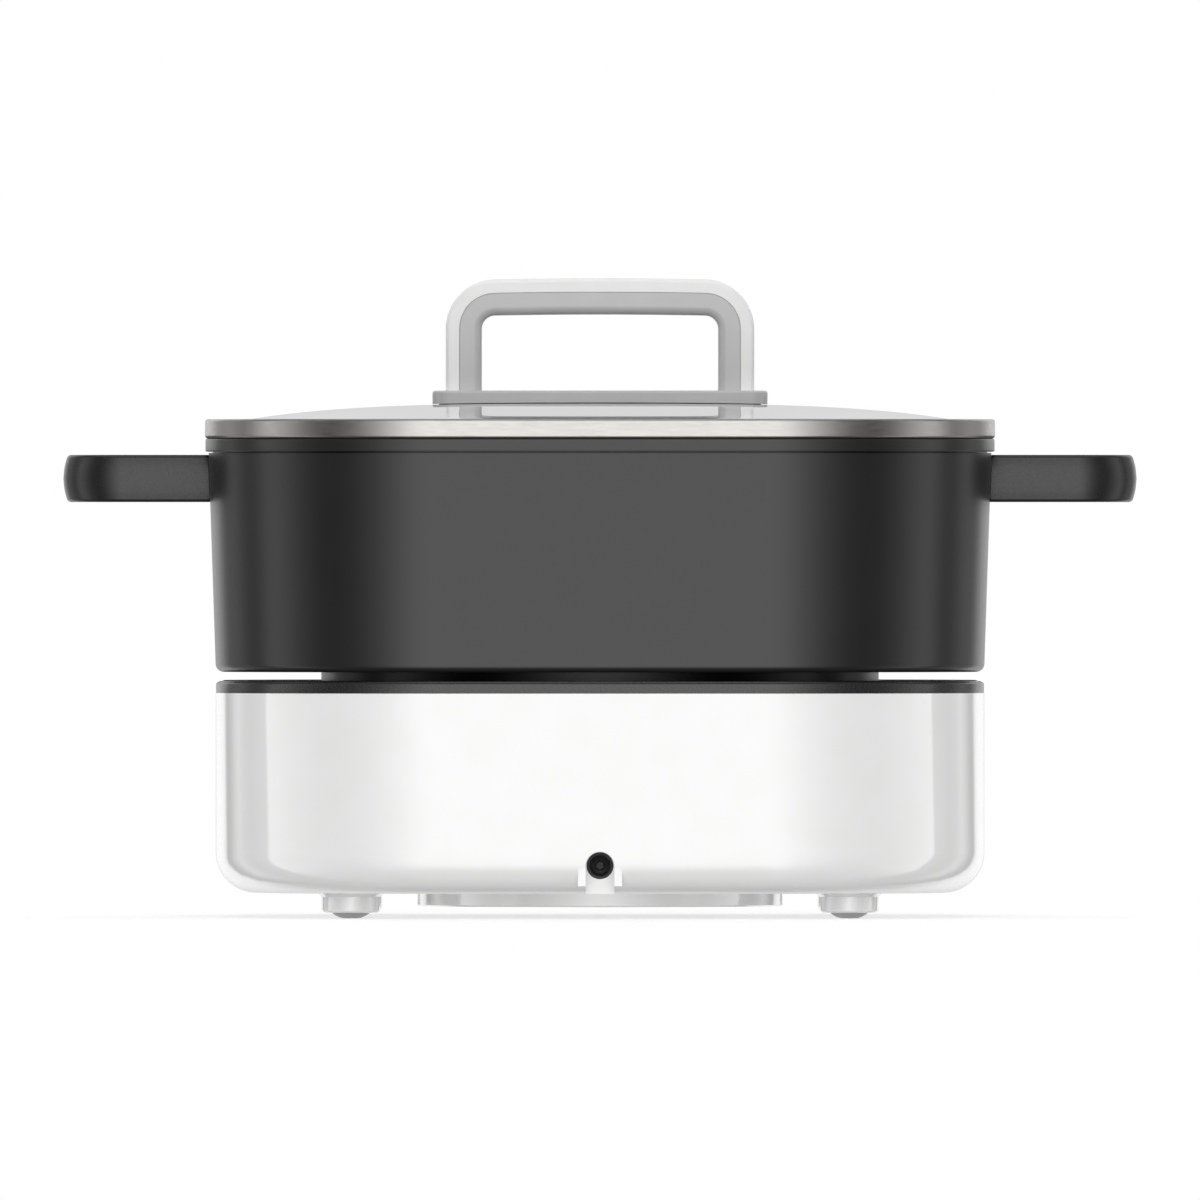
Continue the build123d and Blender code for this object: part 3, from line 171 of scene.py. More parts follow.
# %% Plastics
def moulded(name, colour, shade, roughness, wave, wave_depth, grain, grain_depth, **sockets):
    """Plastic with the slow waves of its melt and the fine grain of its mould."""
    material, tree, shader = surface(name, colour, roughness, IOR=1.53, **sockets)
    waves = pattern(tree, wave, detail=1.0)
    fine = pattern(tree, grain)
    vary_roughness(tree, shader, fine, 0.8 * roughness, 1.2 * roughness)
    vary_colour(tree, shader, waves, colour, shade)
    long_bump = relief(tree, shader, waves, wave_depth)
    fine_bump = relief(tree, shader, fine, grain_depth)
    tree.links.new(long_bump.outputs["Normal"], fine_bump.inputs["Normal"])
    return material


finishes = {
    "white_housing": moulded("lacquered_white_abs", "#e6e6e6", "#e4e4e3", 0.12,
                             14 * MM, 0.003 * MM, 0.6 * MM, 0.0004 * MM,
                             Coat_Weight=1.0, Coat_Roughness=0.04),
    "white_gloss": moulded("glossy_white_handle_abs", "#f1f1f1", "#efefee", 0.12,
                           9 * MM, 0.003 * MM, 0.5 * MM, 0.0005 * MM),
    "pale_grip": moulded("satin_grey_handle_abs", "#c8c8c8", "#c5c5c5", 0.34,
                         9 * MM, 0.003 * MM, 0.4 * MM, 0.002 * MM),
    "dark_handle": moulded("eroded_black_phenolic", "#1d1d1d", "#1b1b1b", 0.33,
                           9 * MM, 0.003 * MM, 0.4 * MM, 0.003 * MM),
    "deck_plastic": moulded("satin_dark_deck_pbt", "#282828", "#262626", 0.26,
                            12 * MM, 0.003 * MM, 0.4 * MM, 0.002 * MM),
    "grey_plastic": moulded("satin_dark_knob_abs", "#2c2c2d", "#292929", 0.3,
                            8 * MM, 0.002 * MM, 0.4 * MM, 0.002 * MM),
    "bakelite": moulded("pressed_bakelite", "#3a2a20", "#33241b", 0.4,
                        7 * MM, 0.004 * MM, 0.4 * MM, 0.004 * MM),
    "terminal_nylon": moulded("natural_nylon", "#e4e1d4", "#dcd8ca", 0.42,
                              7 * MM, 0.004 * MM, 0.4 * MM, 0.004 * MM),
    "brown_insulation": moulded("brown_pvc_insulation", "#6b3f22", "#63391e", 0.38,
                                5 * MM, 0.004 * MM, 0.3 * MM, 0.003 * MM),
    "black_insulation": moulded("black_pvc_insulation", "#1c1c1c", "#202020", 0.38,
                                5 * MM, 0.004 * MM, 0.3 * MM, 0.003 * MM),
    "blue_insulation": moulded("blue_pvc_insulation", "#2f6fb5", "#2a66a8", 0.38,
                               5 * MM, 0.004 * MM, 0.3 * MM, 0.003 * MM),
}
printed_ink = moulded("pad_printed_ink", "#3a3a3c", "#353537", 0.45,
                      3 * MM, 0.0005 * MM, 0.3 * MM, 0.0005 * MM)
print("plastics:", len(finishes))

# %% [markdown]
# ## Green and yellow earth wire
# An earth lead has a yellow stripe along its green sheath. The stripe has hard edges, so a wave
# texture with about 3.5 mm between its crests is cut by a steep map instead of faded by noise.

# %% Striped insulation
EARTH_GREEN = "#3f8f3a"
EARTH_YELLOW = "#e3cf3a"
STRIPE_SCALE = 90.0

material, tree, shader = surface("striped_earth_insulation", EARTH_GREEN, 0.38, IOR=1.53)
place = add(tree, "ShaderNodeTexCoord")
band = add(tree, "ShaderNodeTexWave", {"Vector": place.outputs["Object"],
                                       "Scale": STRIPE_SCALE})
cut = add(tree, "ShaderNodeMapRange", {"Value": band.outputs["Fac"], "From Min": 0.48,
                                       "From Max": 0.52})
stripe = add(tree, "ShaderNodeMix", {0: cut.outputs["Result"], 6: linear(EARTH_GREEN),
                                     7: linear(EARTH_YELLOW)}, data_type="RGBA")
tree.links.new(stripe.outputs[2], shader.inputs["Base Color"])
finishes["earth_insulation"] = material
print("earth lead:", material.name)

# %% [markdown]
# ## Rubbers
# The pads and the gland are moulded rubber, and the beds under the glass are black silicone. All
# scatter light widely. Rubber shows a powdery bloom, which is a slow change of tone.

# %% Rubbers
BLOOM_PATCH = 5 * MM


def rubber(name, colour, bloom, roughness, grain, depth, **sockets):
    """Rubber with a bloom of a second colour and a fine moulded grain."""
    material, tree, shader = surface(name, colour, roughness, IOR=1.45, **sockets)
    fine = pattern(tree, grain)
    vary_colour(tree, shader, pattern(tree, BLOOM_PATCH), colour, bloom)
    vary_roughness(tree, shader, fine, 0.85 * roughness, 1.1 * roughness)
    relief(tree, shader, fine, depth)
    return material


finishes["grey_rubber"] = rubber("moulded_grey_rubber", "#a3a3a3", "#9b9b9b", 0.55,
                                 0.5 * MM, 0.004 * MM)
finishes["black_rubber"] = rubber("moulded_black_rubber", "#1b1b1b", "#232323", 0.5,
                                  0.5 * MM, 0.004 * MM)
finishes["silicone"] = rubber("black_silicone", "#1b1b1b", "#222222", 0.42,
                              0.7 * MM, 0.002 * MM, Subsurface_Weight=0.2)
print("with rubbers:", len(finishes))

# %% [markdown]
# ## Coated casting
# The pot is die-cast aluminium, blasted and sprayed with a black non-stick coating. Blasting leaves
# soft dimples under the coat, a millimetre and a half apart, and the sprayed coat adds a finer
# dust. So the highlights are broad and very slightly mottled.

# %% Pot coating
DIMPLE = 1.6 * MM
DUST = 0.5 * MM
COAT_PATCH = 20 * MM

material, tree, shader = surface("sprayed_nonstick_coating", "#1c1c1c", 0.3, IOR=1.5)
dimples = pattern(tree, DIMPLE)
dust = pattern(tree, DUST)
vary_colour(tree, shader, pattern(tree, COAT_PATCH), "#1c1c1c", "#1e1e1e")
vary_roughness(tree, shader, dust, 0.28, 0.33)
low_bump = relief(tree, shader, dimples, 0.002 * MM)
dust_bump = relief(tree, shader, dust, 0.001 * MM)
tree.links.new(low_bump.outputs["Normal"], dust_bump.inputs["Normal"])
finishes["pot_coating"] = material
print("pot coating:", material.name)

# %% [markdown]
# ## Metals
# A bare metal has no colour of its own under its reflections, so its base colour is what it
# reflects. Each way of making leaves its own marks: rolling and polishing draw fine lines, turning
# leaves rings, casting leaves a grain, and hot-dip zinc freezes into spangles.

# %% Metals
TARNISH_PATCH = 12 * MM


def drawn_metal(name, colour, shade, roughness, line, stretch, depth):
    """Metal whose marks run one way: the pattern is stretched along that direction."""
    material, tree, shader = surface(name, colour, roughness, Metallic=1.0)
    lines = pattern(tree, line, stretch)
    vary_colour(tree, shader, pattern(tree, TARNISH_PATCH), colour, shade)
    vary_roughness(tree, shader, lines, 0.85 * roughness, 1.15 * roughness)
    relief(tree, shader, lines, depth)
    return material


finishes["rim_steel"] = drawn_metal("polished_stainless_steel", "#acaaa7", "#a9a7a4", 0.33,
                                    0.3 * MM, (0.06, 0.06, 1), 0.0003 * MM)
finishes["chrome_trim"] = drawn_metal("bright_chrome_plate", "#dcdcdd", "#d8d8d9", 0.06,
                                      2 * MM, (1, 1, 1), 0.0005 * MM)
finishes["spring_steel"] = drawn_metal("drawn_spring_wire", "#9b9a99", "#8f8e8d", 0.3,
                                       0.3 * MM, (0.3, 0.3, 1), 0.001 * MM)
finishes["element_steel"] = drawn_metal("oxidised_sheath_steel", "#7d7671", "#6a635e", 0.42,
                                        0.5 * MM, (0.3, 0.3, 1), 0.002 * MM)
finishes["steel_screws"] = drawn_metal("zinc_plated_steel", "#b9babd", "#adaeb3", 0.27,
                                       0.5 * MM, (1, 1, 1), 0.001 * MM)
finishes["brass_screws"] = drawn_metal("plain_brass", "#c8a860", "#bb9a52", 0.26,
                                       0.5 * MM, (1, 1, 1), 0.001 * MM)
print("finishes:", len(finishes))

# %% [markdown]
# ## Turned aluminium
# The heating plate is faced on a lathe, so rings about a millimetre apart run round its middle. The
# wave texture has rings about Z, and a little distortion keeps them from looking printed. The
# sensor cup stands in the same middle and is turned in the same way.

# %% Turned aluminium
RING_PITCH = 1.2 * MM
CAST_PATCH = 15 * MM

material, tree, shader = surface("turned_cast_aluminium", "#bdbdbe", 0.3, Metallic=1.0)
place = add(tree, "ShaderNodeTexCoord")
rings = add(tree, "ShaderNodeTexWave", {"Vector": place.outputs["Object"],
                                        "Scale": math.pi / (10 * RING_PITCH),
                                        "Distortion": 0.6, "Detail Scale": 40.0},
            wave_type="RINGS", rings_direction="Z")
vary_colour(tree, shader, pattern(tree, CAST_PATCH), "#bdbdbe", "#b2b2b4")
vary_roughness(tree, shader, rings.outputs["Fac"], 0.24, 0.36)
relief(tree, shader, rings.outputs["Fac"], 0.004 * MM)
finishes["cast_aluminium"] = material
print("rings every", RING_PITCH / MM, "mm")

# %% [markdown]
# ## Galvanised steel
# Zinc cools into crystals of 5 to 10 mm, each with its own tilt, so each gives back a different
# grey. Voronoi cells are such patches: every cell has one random colour.

# %% Zinc spangle
SPANGLE = 7 * MM
ZINC_GRAIN = 1 * MM

material, tree, shader = surface("galvanised_sheet", "#a9adb1", 0.38, Metallic=1.0)
place = add(tree, "ShaderNodeTexCoord")
cells = add(tree, "ShaderNodeTexVoronoi", {"Vector": place.outputs["Object"],
                                           "Scale": 1 / SPANGLE})
vary_colour(tree, shader, cells.outputs["Color"], "#a3a7ab", "#b4b8bc")
vary_roughness(tree, shader, cells.outputs["Color"], 0.32, 0.46)
relief(tree, shader, pattern(tree, ZINC_GRAIN), 0.002 * MM)
finishes["galvanised_steel"] = material
print("spangles of", SPANGLE / MM, "mm")

# %% [markdown]
# ## Glass
# The lid is pressed soda-lime glass, with an index of 1.52 and a trace of green in thick parts. The
# renderer finds lamps badly through glass, which would leave the pot's inside black. So rays that
# only ask how much light arrives are let straight through with a small loss, and every other ray
# sees real refraction. Handling leaves a haze, which is a slow change of gloss.

# %% Clear materials
HAZE_PATCH = 8 * MM


def clear(name, tint, roughness, ior, wave, depth):
    """Clear material with the waves of its press tool and a faint haze."""
    material, tree, shader = surface(name, tint, roughness, IOR=ior, Transmission_Weight=1.0)
    relief(tree, shader, pattern(tree, wave, detail=1.0), depth)
    vary_roughness(tree, shader, pattern(tree, HAZE_PATCH), roughness, 1.6 * roughness)
    rays = add(tree, "ShaderNodeLightPath")
    through = add(tree, "ShaderNodeBsdfTransparent", {"Color": linear(tint)})
    asks = add(tree, "ShaderNodeMath", {0: rays.outputs["Is Shadow Ray"],
                                        1: rays.outputs["Is Diffuse Ray"]}, operation="MAXIMUM")
    both = add(tree, "ShaderNodeMixShader", {0: asks.outputs["Value"],
                                             1: shader.outputs["BSDF"],
                                             2: through.outputs["BSDF"]})
    tree.links.new(both.outputs["Shader"], tree.nodes["Material Output"].inputs["Surface"])
    return material


finishes["lid_glass"] = clear("pressed_soda_lime_glass", "#f2f6f4", 0.012, 1.52,
                              30 * MM, 0.01 * MM)
finishes["lamp_glass"] = clear("lamp_glass", "#fbeee0", 0.02, 1.5, 4 * MM, 0.004 * MM)
finishes["amber_lens"] = clear("amber_polycarbonate", "#f08a1c", 0.05, 1.58, 3 * MM, 0.003 * MM)

# %% [markdown]
# ## A finish for every slot
# The frame's record says which material slot each solid has. A slot that has no finish yet would
# stop the next step, so the two lists are compared here.

# %% Slots and finishes
slot_of = {part["node"]: part["material_slot"] for part in frame["record"]["subparts"]}
missing = sorted(set(slot_of.values()) - set(finishes))
print("slots without a finish:", missing)

# %% [markdown]
# ## Smooth shading on the solids that stay
# The loaded solids are loose triangles. Their meshes mustn't be touched, but a modifier may finish
# them: it joins equal corners, shades everything smooth, and keeps an edge sharp where two faces
# meet at more than a set angle. A weighted normal then lets the broad faces stay flat, so a small
# round beside them doesn't pull a shadow across them.

# %% Smooth by angle
SHARP_ANGLE = math.radians(28)
WELD = 0.002 * MM
FLATNESS = 80

smoother = bpy.data.node_groups.new("smooth_by_angle", "GeometryNodeTree")
smoother.interface.new_socket("Geometry", in_out="INPUT", socket_type="NodeSocketGeometry")
smoother.interface.new_socket("Geometry", in_out="OUTPUT", socket_type="NodeSocketGeometry")
start = add(smoother, "NodeGroupInput")
welded = add(smoother, "GeometryNodeMergeByDistance", {0: start.outputs[0], "Distance": WELD})
bend = add(smoother, "GeometryNodeInputMeshEdgeAngle")
sharp = add(smoother, "FunctionNodeCompare", {0: bend.outputs["Unsigned Angle"],
                                              1: SHARP_ANGLE}, operation="GREATER_THAN")
soft = add(smoother, "GeometryNodeSetShadeSmooth", {0: welded.outputs[0],
                                                    "Shade Smooth": True}, domain="FACE")
creased = add(smoother, "GeometryNodeSetShadeSmooth", {0: soft.outputs[0],
                                                       "Selection": sharp.outputs[0],
                                                       "Shade Smooth": False}, domain="EDGE")
add(smoother, "NodeGroupOutput", {0: creased.outputs[0]})


def even_normals(piece):
    """Let broad faces keep their flatness beside small rounds."""
    weighted = piece.modifiers.new("even_normals", "WEIGHTED_NORMAL")
    weighted.keep_sharp = True
    weighted.weight = FLATNESS


for name, node in nodes.items():
    node.modifiers.new("smooth", "NODES").node_group = smoother
    even_normals(node)
    node.data.materials.clear()
    node.data.materials.append(finishes[slot_of[name]])
print("finished nodes:", len(nodes))

# %% [markdown]
# ## One plan for every ring
# The base, the deck, the pot, the rim and the glass are rounded squares that share the same four
# corner centres, as in most square cookware, so that their sides stay parallel. So one profile can
# be carried round all of them: it is pushed along a straight side, spun a quarter turn about the
# corner's centre, and so on four times. The quads follow the form, which keeps reflections clean.

# %% Helpers for pieces
CORNER = 60.2 * MM
CORNER_STEPS = 24
ROUND_STEPS = 5
SAME_PLACE = 0.001 * MM
SAME_HEIGHT = 0.01 * MM


def fold(here, before, after):
    """How far the line from before to after turns at a point, in radians."""
    way_in = Vector((here[0] - before[0], here[1] - before[1]))
    way_out = Vector((after[0] - here[0], after[1] - here[1]))
    return way_in.angle(way_out)


def profile(points, closed=False):
    """Chain of edges in the XZ plane through (distance, height, round) rows, in millimetres."""
    bm = bmesh.new()
    verts = [bm.verts.new((x * MM, 0, z * MM)) for x, z, _ in points]
    for first, second in zip(verts, verts[1:] + verts[:1] if closed else verts[1:]):
        bm.edges.new((first, second))
    rounded = range(len(points)) if closed else range(1, len(points) - 1)
    for i in rounded:
        here, before, after = points[i], points[i - 1], points[(i + 1) % len(points)]
        if here[2]:
            reach = here[2] * MM * math.tan(fold(here, before, after) / 2)
            bmesh.ops.bevel(bm, geom=[verts[i]], offset=reach, affect="VERTICES",
                            segments=ROUND_STEPS, profile=0.5, material=-1)
    return bm


def push(bm, verts, vector):
    """Extrude the edges between these vertices, move the new ones, and return them."""
    inside = set(verts)
    edges = [e for e in bm.edges if e.verts[0] in inside and e.verts[1] in inside]
    made = bmesh.ops.extrude_edge_only(bm, edges=edges)["geom"]
    moved = [g for g in made if isinstance(g, bmesh.types.BMVert)]
    bmesh.ops.translate(bm, verts=moved, vec=vector)
    return moved


def turn(bm, verts, centre, steps):
    """Spin the edges between these vertices a quarter turn about Z, and return the last ones."""
    inside = set(verts)
    edges = [e for e in bm.edges if e.verts[0] in inside and e.verts[1] in inside]
    made = bmesh.ops.spin(bm, geom=list(verts) + edges, cent=centre, axis=(0, 0, 1),
                          angle=math.radians(90), steps=steps)["geom_last"]
    return [g for g in made if isinstance(g, bmesh.types.BMVert)]


def carry_round(bm):
    """Carry the chain in the XZ plane once round a rounded square."""
    bmesh.ops.translate(bm, verts=bm.verts[:], vec=(0, -CORNER, 0))
    last = bm.verts[:]
    for quarter in range(4):
        side = Matrix.Rotation(math.radians(90 * quarter), 3, "Z")
        last = push(bm, last, side @ Vector((0, 2 * CORNER, 0)))
        last = turn(bm, last, side @ Vector((CORNER, CORNER, 0)), CORNER_STEPS)
    bmesh.ops.remove_doubles(bm, verts=bm.verts[:], dist=SAME_PLACE)
    return bm


def rim_edges(bm, height):
    """The open edges that lie at one height, in millimetres."""
    return [e for e in bm.edges if e.is_boundary
            and all(abs(v.co.z - height * MM) < SAME_HEIGHT for v in e.verts)]


def circle_at(bm, radius, height, segments):
    """A ring of edges about Z, in millimetres."""
    made = bmesh.ops.create_circle(bm, cap_ends=False, segments=segments, radius=radius * MM)
    bmesh.ops.translate(bm, verts=made["verts"], vec=(0, 0, height * MM))
    return made["verts"], list({e for v in made["verts"] for e in v.link_edges})


def plan_ring(bm, half, radius, height):
    """A rounded square of edges about Z, in millimetres, with its corners beveled round."""
    verts = bmesh.ops.create_circle(bm, cap_ends=False, segments=4, radius=math.sqrt(2))["verts"]
    bmesh.ops.rotate(bm, verts=verts, cent=(0, 0, 0), matrix=Matrix.Rotation(math.pi / 4, 3, "Z"))
    bmesh.ops.scale(bm, verts=verts, vec=(half * MM, half * MM, 1))
    bmesh.ops.translate(bm, verts=verts, vec=(0, 0, height * MM))
    others = set(bm.verts) - set(verts)
    bmesh.ops.bevel(bm, geom=verts, offset=radius * MM, affect="VERTICES",
                    segments=CORNER_STEPS, profile=0.5, material=-1)
    ring = [v for v in bm.verts if v not in others]
    return ring, list({e for v in ring for e in v.link_edges})


def cap(bm, edges):
    """Close a flat ring of edges with one face."""
    bmesh.ops.contextual_create(bm, geom=edges)


def tidy(bm):
    """Merge doubled corners and turn all faces outwards."""
    bmesh.ops.remove_doubles(bm, verts=bm.verts[:], dist=SAME_PLACE / 2)
    bmesh.ops.recalc_face_normals(bm, faces=bm.faces[:])


# %% [markdown]
# ## Holes
# A bmesh has no operator that drills a hole. A Boolean modifier does it: the piece is turned into
# an object for a moment, a plain cylinder for each hole is taken away from it, and the result
# comes back into the bmesh. The exact solver is slow but leaves the skin closed.

# %% Helpers for holes
DRILL_STEPS = 40


def from_object(bm, thing):
    """Add an object's finished shape to a bmesh, and delete the object."""
    bpy.context.scene.collection.objects.link(thing)
    depsgraph = bpy.context.evaluated_depsgraph_get()
    shape = bpy.data.meshes.new_from_object(thing.evaluated_get(depsgraph))
    bm.from_mesh(shape)
    bpy.data.meshes.remove(shape)
    bpy.data.objects.remove(thing)


def drill(bm, places, radius, low, high):
    """Drill round holes along Z into a closed bmesh, at (x, y) places in millimetres."""
    bits = bmesh.new()
    for x, y in places:
        bit = bmesh.ops.create_cone(bits, cap_ends=True, segments=DRILL_STEPS,
                                    radius1=radius * MM, radius2=radius * MM,
                                    depth=(high - low) * MM)["verts"]
        bmesh.ops.translate(bits, verts=bit, vec=(x * MM, y * MM, (low + high) / 2 * MM))
    tidy(bm)
    solids = []
    for name, source in (("blank", bm), ("cutter", bits)):
        data = bpy.data.meshes.new(name)
        source.to_mesh(data)
        solids.append(bpy.data.objects.new(name, data))
    blank, cutter = solids
    bpy.context.scene.collection.objects.link(cutter)
    holes = blank.modifiers.new("holes", "BOOLEAN")
    holes.object = cutter
    holes.operation = "DIFFERENCE"
    holes.solver = "EXACT"
    bm.clear()
    from_object(bm, blank)
    bpy.data.objects.remove(cutter)
    bits.free()


# %% [markdown]
# ## From a bmesh to a piece
# Every new piece is finished in the same way: its doubles are merged, its faces turned outwards and
# shaded smooth except over sharp edges, and it gets its finish. Then it is hung from the empty of
# the body that carries it, and the solids that it takes the place of are hidden.

# %% Helper for finished pieces
SMOOTH_ANGLE = math.radians(32)


def make_piece(name, bm, slot, body, *stands_for, finish=None):
    """Turn a bmesh into a finished piece that rides on its body and stands for its solids."""
    tidy(bm)
    open_edges = sum(not e.is_manifold for e in bm.edges)
    data = bpy.data.meshes.new(name)
    bm.to_mesh(data)
    bm.free()
    data.shade_smooth()
    data.set_sharp_from_angle(angle=SMOOTH_ANGLE)
    data.materials.append(finish or finishes[slot])
    piece = bpy.data.objects.new(name, data)
    bpy.context.scene.collection.objects.link(piece)
    even_normals(piece)
    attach(piece, body)
    if stands_for:
        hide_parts(*stands_for)
    print(name, "faces:", len(data.polygons), "open edges:", open_edges)


# %% [markdown]
# ## The pot
# The pot is one die casting: a tapered side with a thicker band at its mouth, a fine groove under
# that band, a rounded inside that is easy to wipe, and a machined disc underneath that stands on
# the heating plate. One profile runs from the inner floor up and over the mouth and down the side.
# The disc is round and the pot is square, so their rings are joined by a bridge of faces.

# %% Pot sizes
pot_low, pot_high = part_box("pot_vessel")
MOUTH_Z = pot_high.z / MM
DISC_Z = pot_low.z / MM
POT_HEIGHT = 83.8
POT_SIDE = 140.9
POT_DRAFT = math.radians(1.9)
POT_UNDER = MOUTH_Z - POT_HEIGHT
BAND_STEP = 0.95
BAND_HEIGHT = 4.6
BAND_WALL = 4.3
BAND_HALF = POT_SIDE + BAND_STEP
BAND_Z = MOUTH_Z - BAND_HEIGHT
INNER_HALF = BAND_HALF - BAND_WALL
FLOOR_THICK = 4.5
FLOOR_Z = POT_UNDER + FLOOR_THICK
GROOVE = 1.6
GROOVE_HIGH = 0.5
GROOVE_ROUND = 0.2
GROOVE_Z = BAND_Z - GROOVE_HIGH
MOUTH_ROUND = 0.6
BAND_ROUND = 0.3
INNER_ROUND = 12.0
BOTTOM_ROUND = 2.8
DISC_RADIUS = 100.5
DISC_CHAMFER = 0.8
FLOOR_START = DISC_RADIUS + 5
UNDER_END = DISC_RADIUS + 12


def side_half(z, top_half=POT_SIDE):
    """Half width of a tapered side at a height, in millimetres."""
    return top_half - (MOUTH_Z - z) * math.tan(POT_DRAFT)


print("pot mouth:", round(MOUTH_Z, 2), "disc:", round(DISC_Z, 2))

# %% Pot body
pot = carry_round(profile([
    (FLOOR_START, FLOOR_Z, 0),
    (side_half(FLOOR_Z, INNER_HALF), FLOOR_Z, INNER_ROUND),
    (INNER_HALF, MOUTH_Z, MOUTH_ROUND),
    (BAND_HALF, MOUTH_Z, MOUTH_ROUND),
    (BAND_HALF, BAND_Z, BAND_ROUND),
    (POT_SIDE - GROOVE, BAND_Z, 0),
    (POT_SIDE - GROOVE, GROOVE_Z, 0),
    (side_half(GROOVE_Z), GROOVE_Z, GROOVE_ROUND),
    (side_half(POT_UNDER), POT_UNDER, BOTTOM_ROUND),
    (UNDER_END, POT_UNDER, 0)]))
cap(pot, rim_edges(pot, FLOOR_Z))
under = rim_edges(pot, POT_UNDER)
ring, ring_edges = circle_at(pot, DISC_RADIUS, POT_UNDER, 4 * (CORNER_STEPS + 1))
bmesh.ops.bridge_loops(pot, edges=under + ring_edges)
ring = push(pot, ring, (0, 0, (DISC_Z + DISC_CHAMFER - POT_UNDER) * MM))
ring = push(pot, ring, (0, 0, -DISC_CHAMFER * MM))
narrower = 1 - DISC_CHAMFER / DISC_RADIUS
bmesh.ops.scale(pot, verts=ring, vec=(narrower, narrower, 1))
cap(pot, rim_edges(pot, DISC_Z))
print("pot body faces:", len(pot.faces))

# %% [markdown]
# ## Lugs for the side handles
# The casting ends in four square lugs that the legs of the side handles slide over, and a screw
# from below holds each leg. A lug is a block with its long edges rounded and its root inside the
# pot's wall. All four are drilled at once, from below to a little past the middle.

# %% Lugs and screw holes
GRIP_Y = 52.0
GRIP_THICK = 15.5
GRIP_HIGH = 17.0
GRIP_DROP = 1.2
LEG_Y = GRIP_Y - GRIP_THICK / 2
HANDLE_Z = BAND_Z - GRIP_DROP - GRIP_HIGH / 2
LUG = 8.0
LUG_LENGTH = 18.0
LUG_ROOT = 2.0
LUG_ROUND = 1.5
LUG_STEPS = 3
SCREW_REACH = 10.5
SCREW_X = side_half(HANDLE_Z) + SCREW_REACH
SCREW_HOLE = 2.05
HOLE_END = 3.0
LEGS = [(side, leg) for side in (-1, 1) for leg in (-1, 1)]

lug_middle = side_half(HANDLE_Z) - LUG_ROOT + LUG_LENGTH / 2
for side, leg in LEGS:
    block = bmesh.ops.create_cube(pot, size=1.0)["verts"]
    bmesh.ops.scale(pot, verts=block, vec=(LUG_LENGTH * MM, LUG * MM, LUG * MM))
    long_edges = {e for v in block for e in v.link_edges
                  if abs(e.verts[0].co.x - e.verts[1].co.x) > LUG * MM}
    bmesh.ops.translate(pot, verts=block,
                        vec=(side * lug_middle * MM, leg * LEG_Y * MM, HANDLE_Z * MM))
    bmesh.ops.bevel(pot, geom=list(long_edges), offset=LUG_ROUND * MM, affect="EDGES",
                    segments=LUG_STEPS, profile=0.5, material=-1)

drill(pot, [(side * SCREW_X, leg * LEG_Y) for side, leg in LEGS], SCREW_HOLE,
      HANDLE_Z - LUG, HANDLE_Z + HOLE_END)
print("screws at", round(SCREW_X, 2), "mm from the middle")
make_piece("cast_pot", pot, "pot_coating", "pot", "pot_vessel")

# %% [markdown]
# ## The side handles
# Each handle is a thick U of phenolic. Its section is a soft rectangle with a slightly bulging
# outer face, and it is drawn once and carried along one leg, round a corner, along the grip and
# back. The ends of the legs are cut on the slant of the pot's side, three tenths of a millimetre
# away from it. Under each leg a round pocket takes the head of its screw.

# %% Side handles
GRIP_REACH = 50.7
GRIP_X = POT_SIDE + GRIP_REACH
GRIP_BEND = 20.0
BEND_STEPS = 16
GRIP_BULGE = 1.6
BULGE_HALFWAY = 0.75 * GRIP_BULGE
BULGE_ROUND = 14.0
OUTER_ROUND = 1.6
INSIDE_ROUND = 3.0
LEG_ROOT = 6.0
HANDLE_SEAM = 0.3
HEAD_HOLE = 3.7
HEAD_DEPTH = 2.8
DRILL_START = 1.0


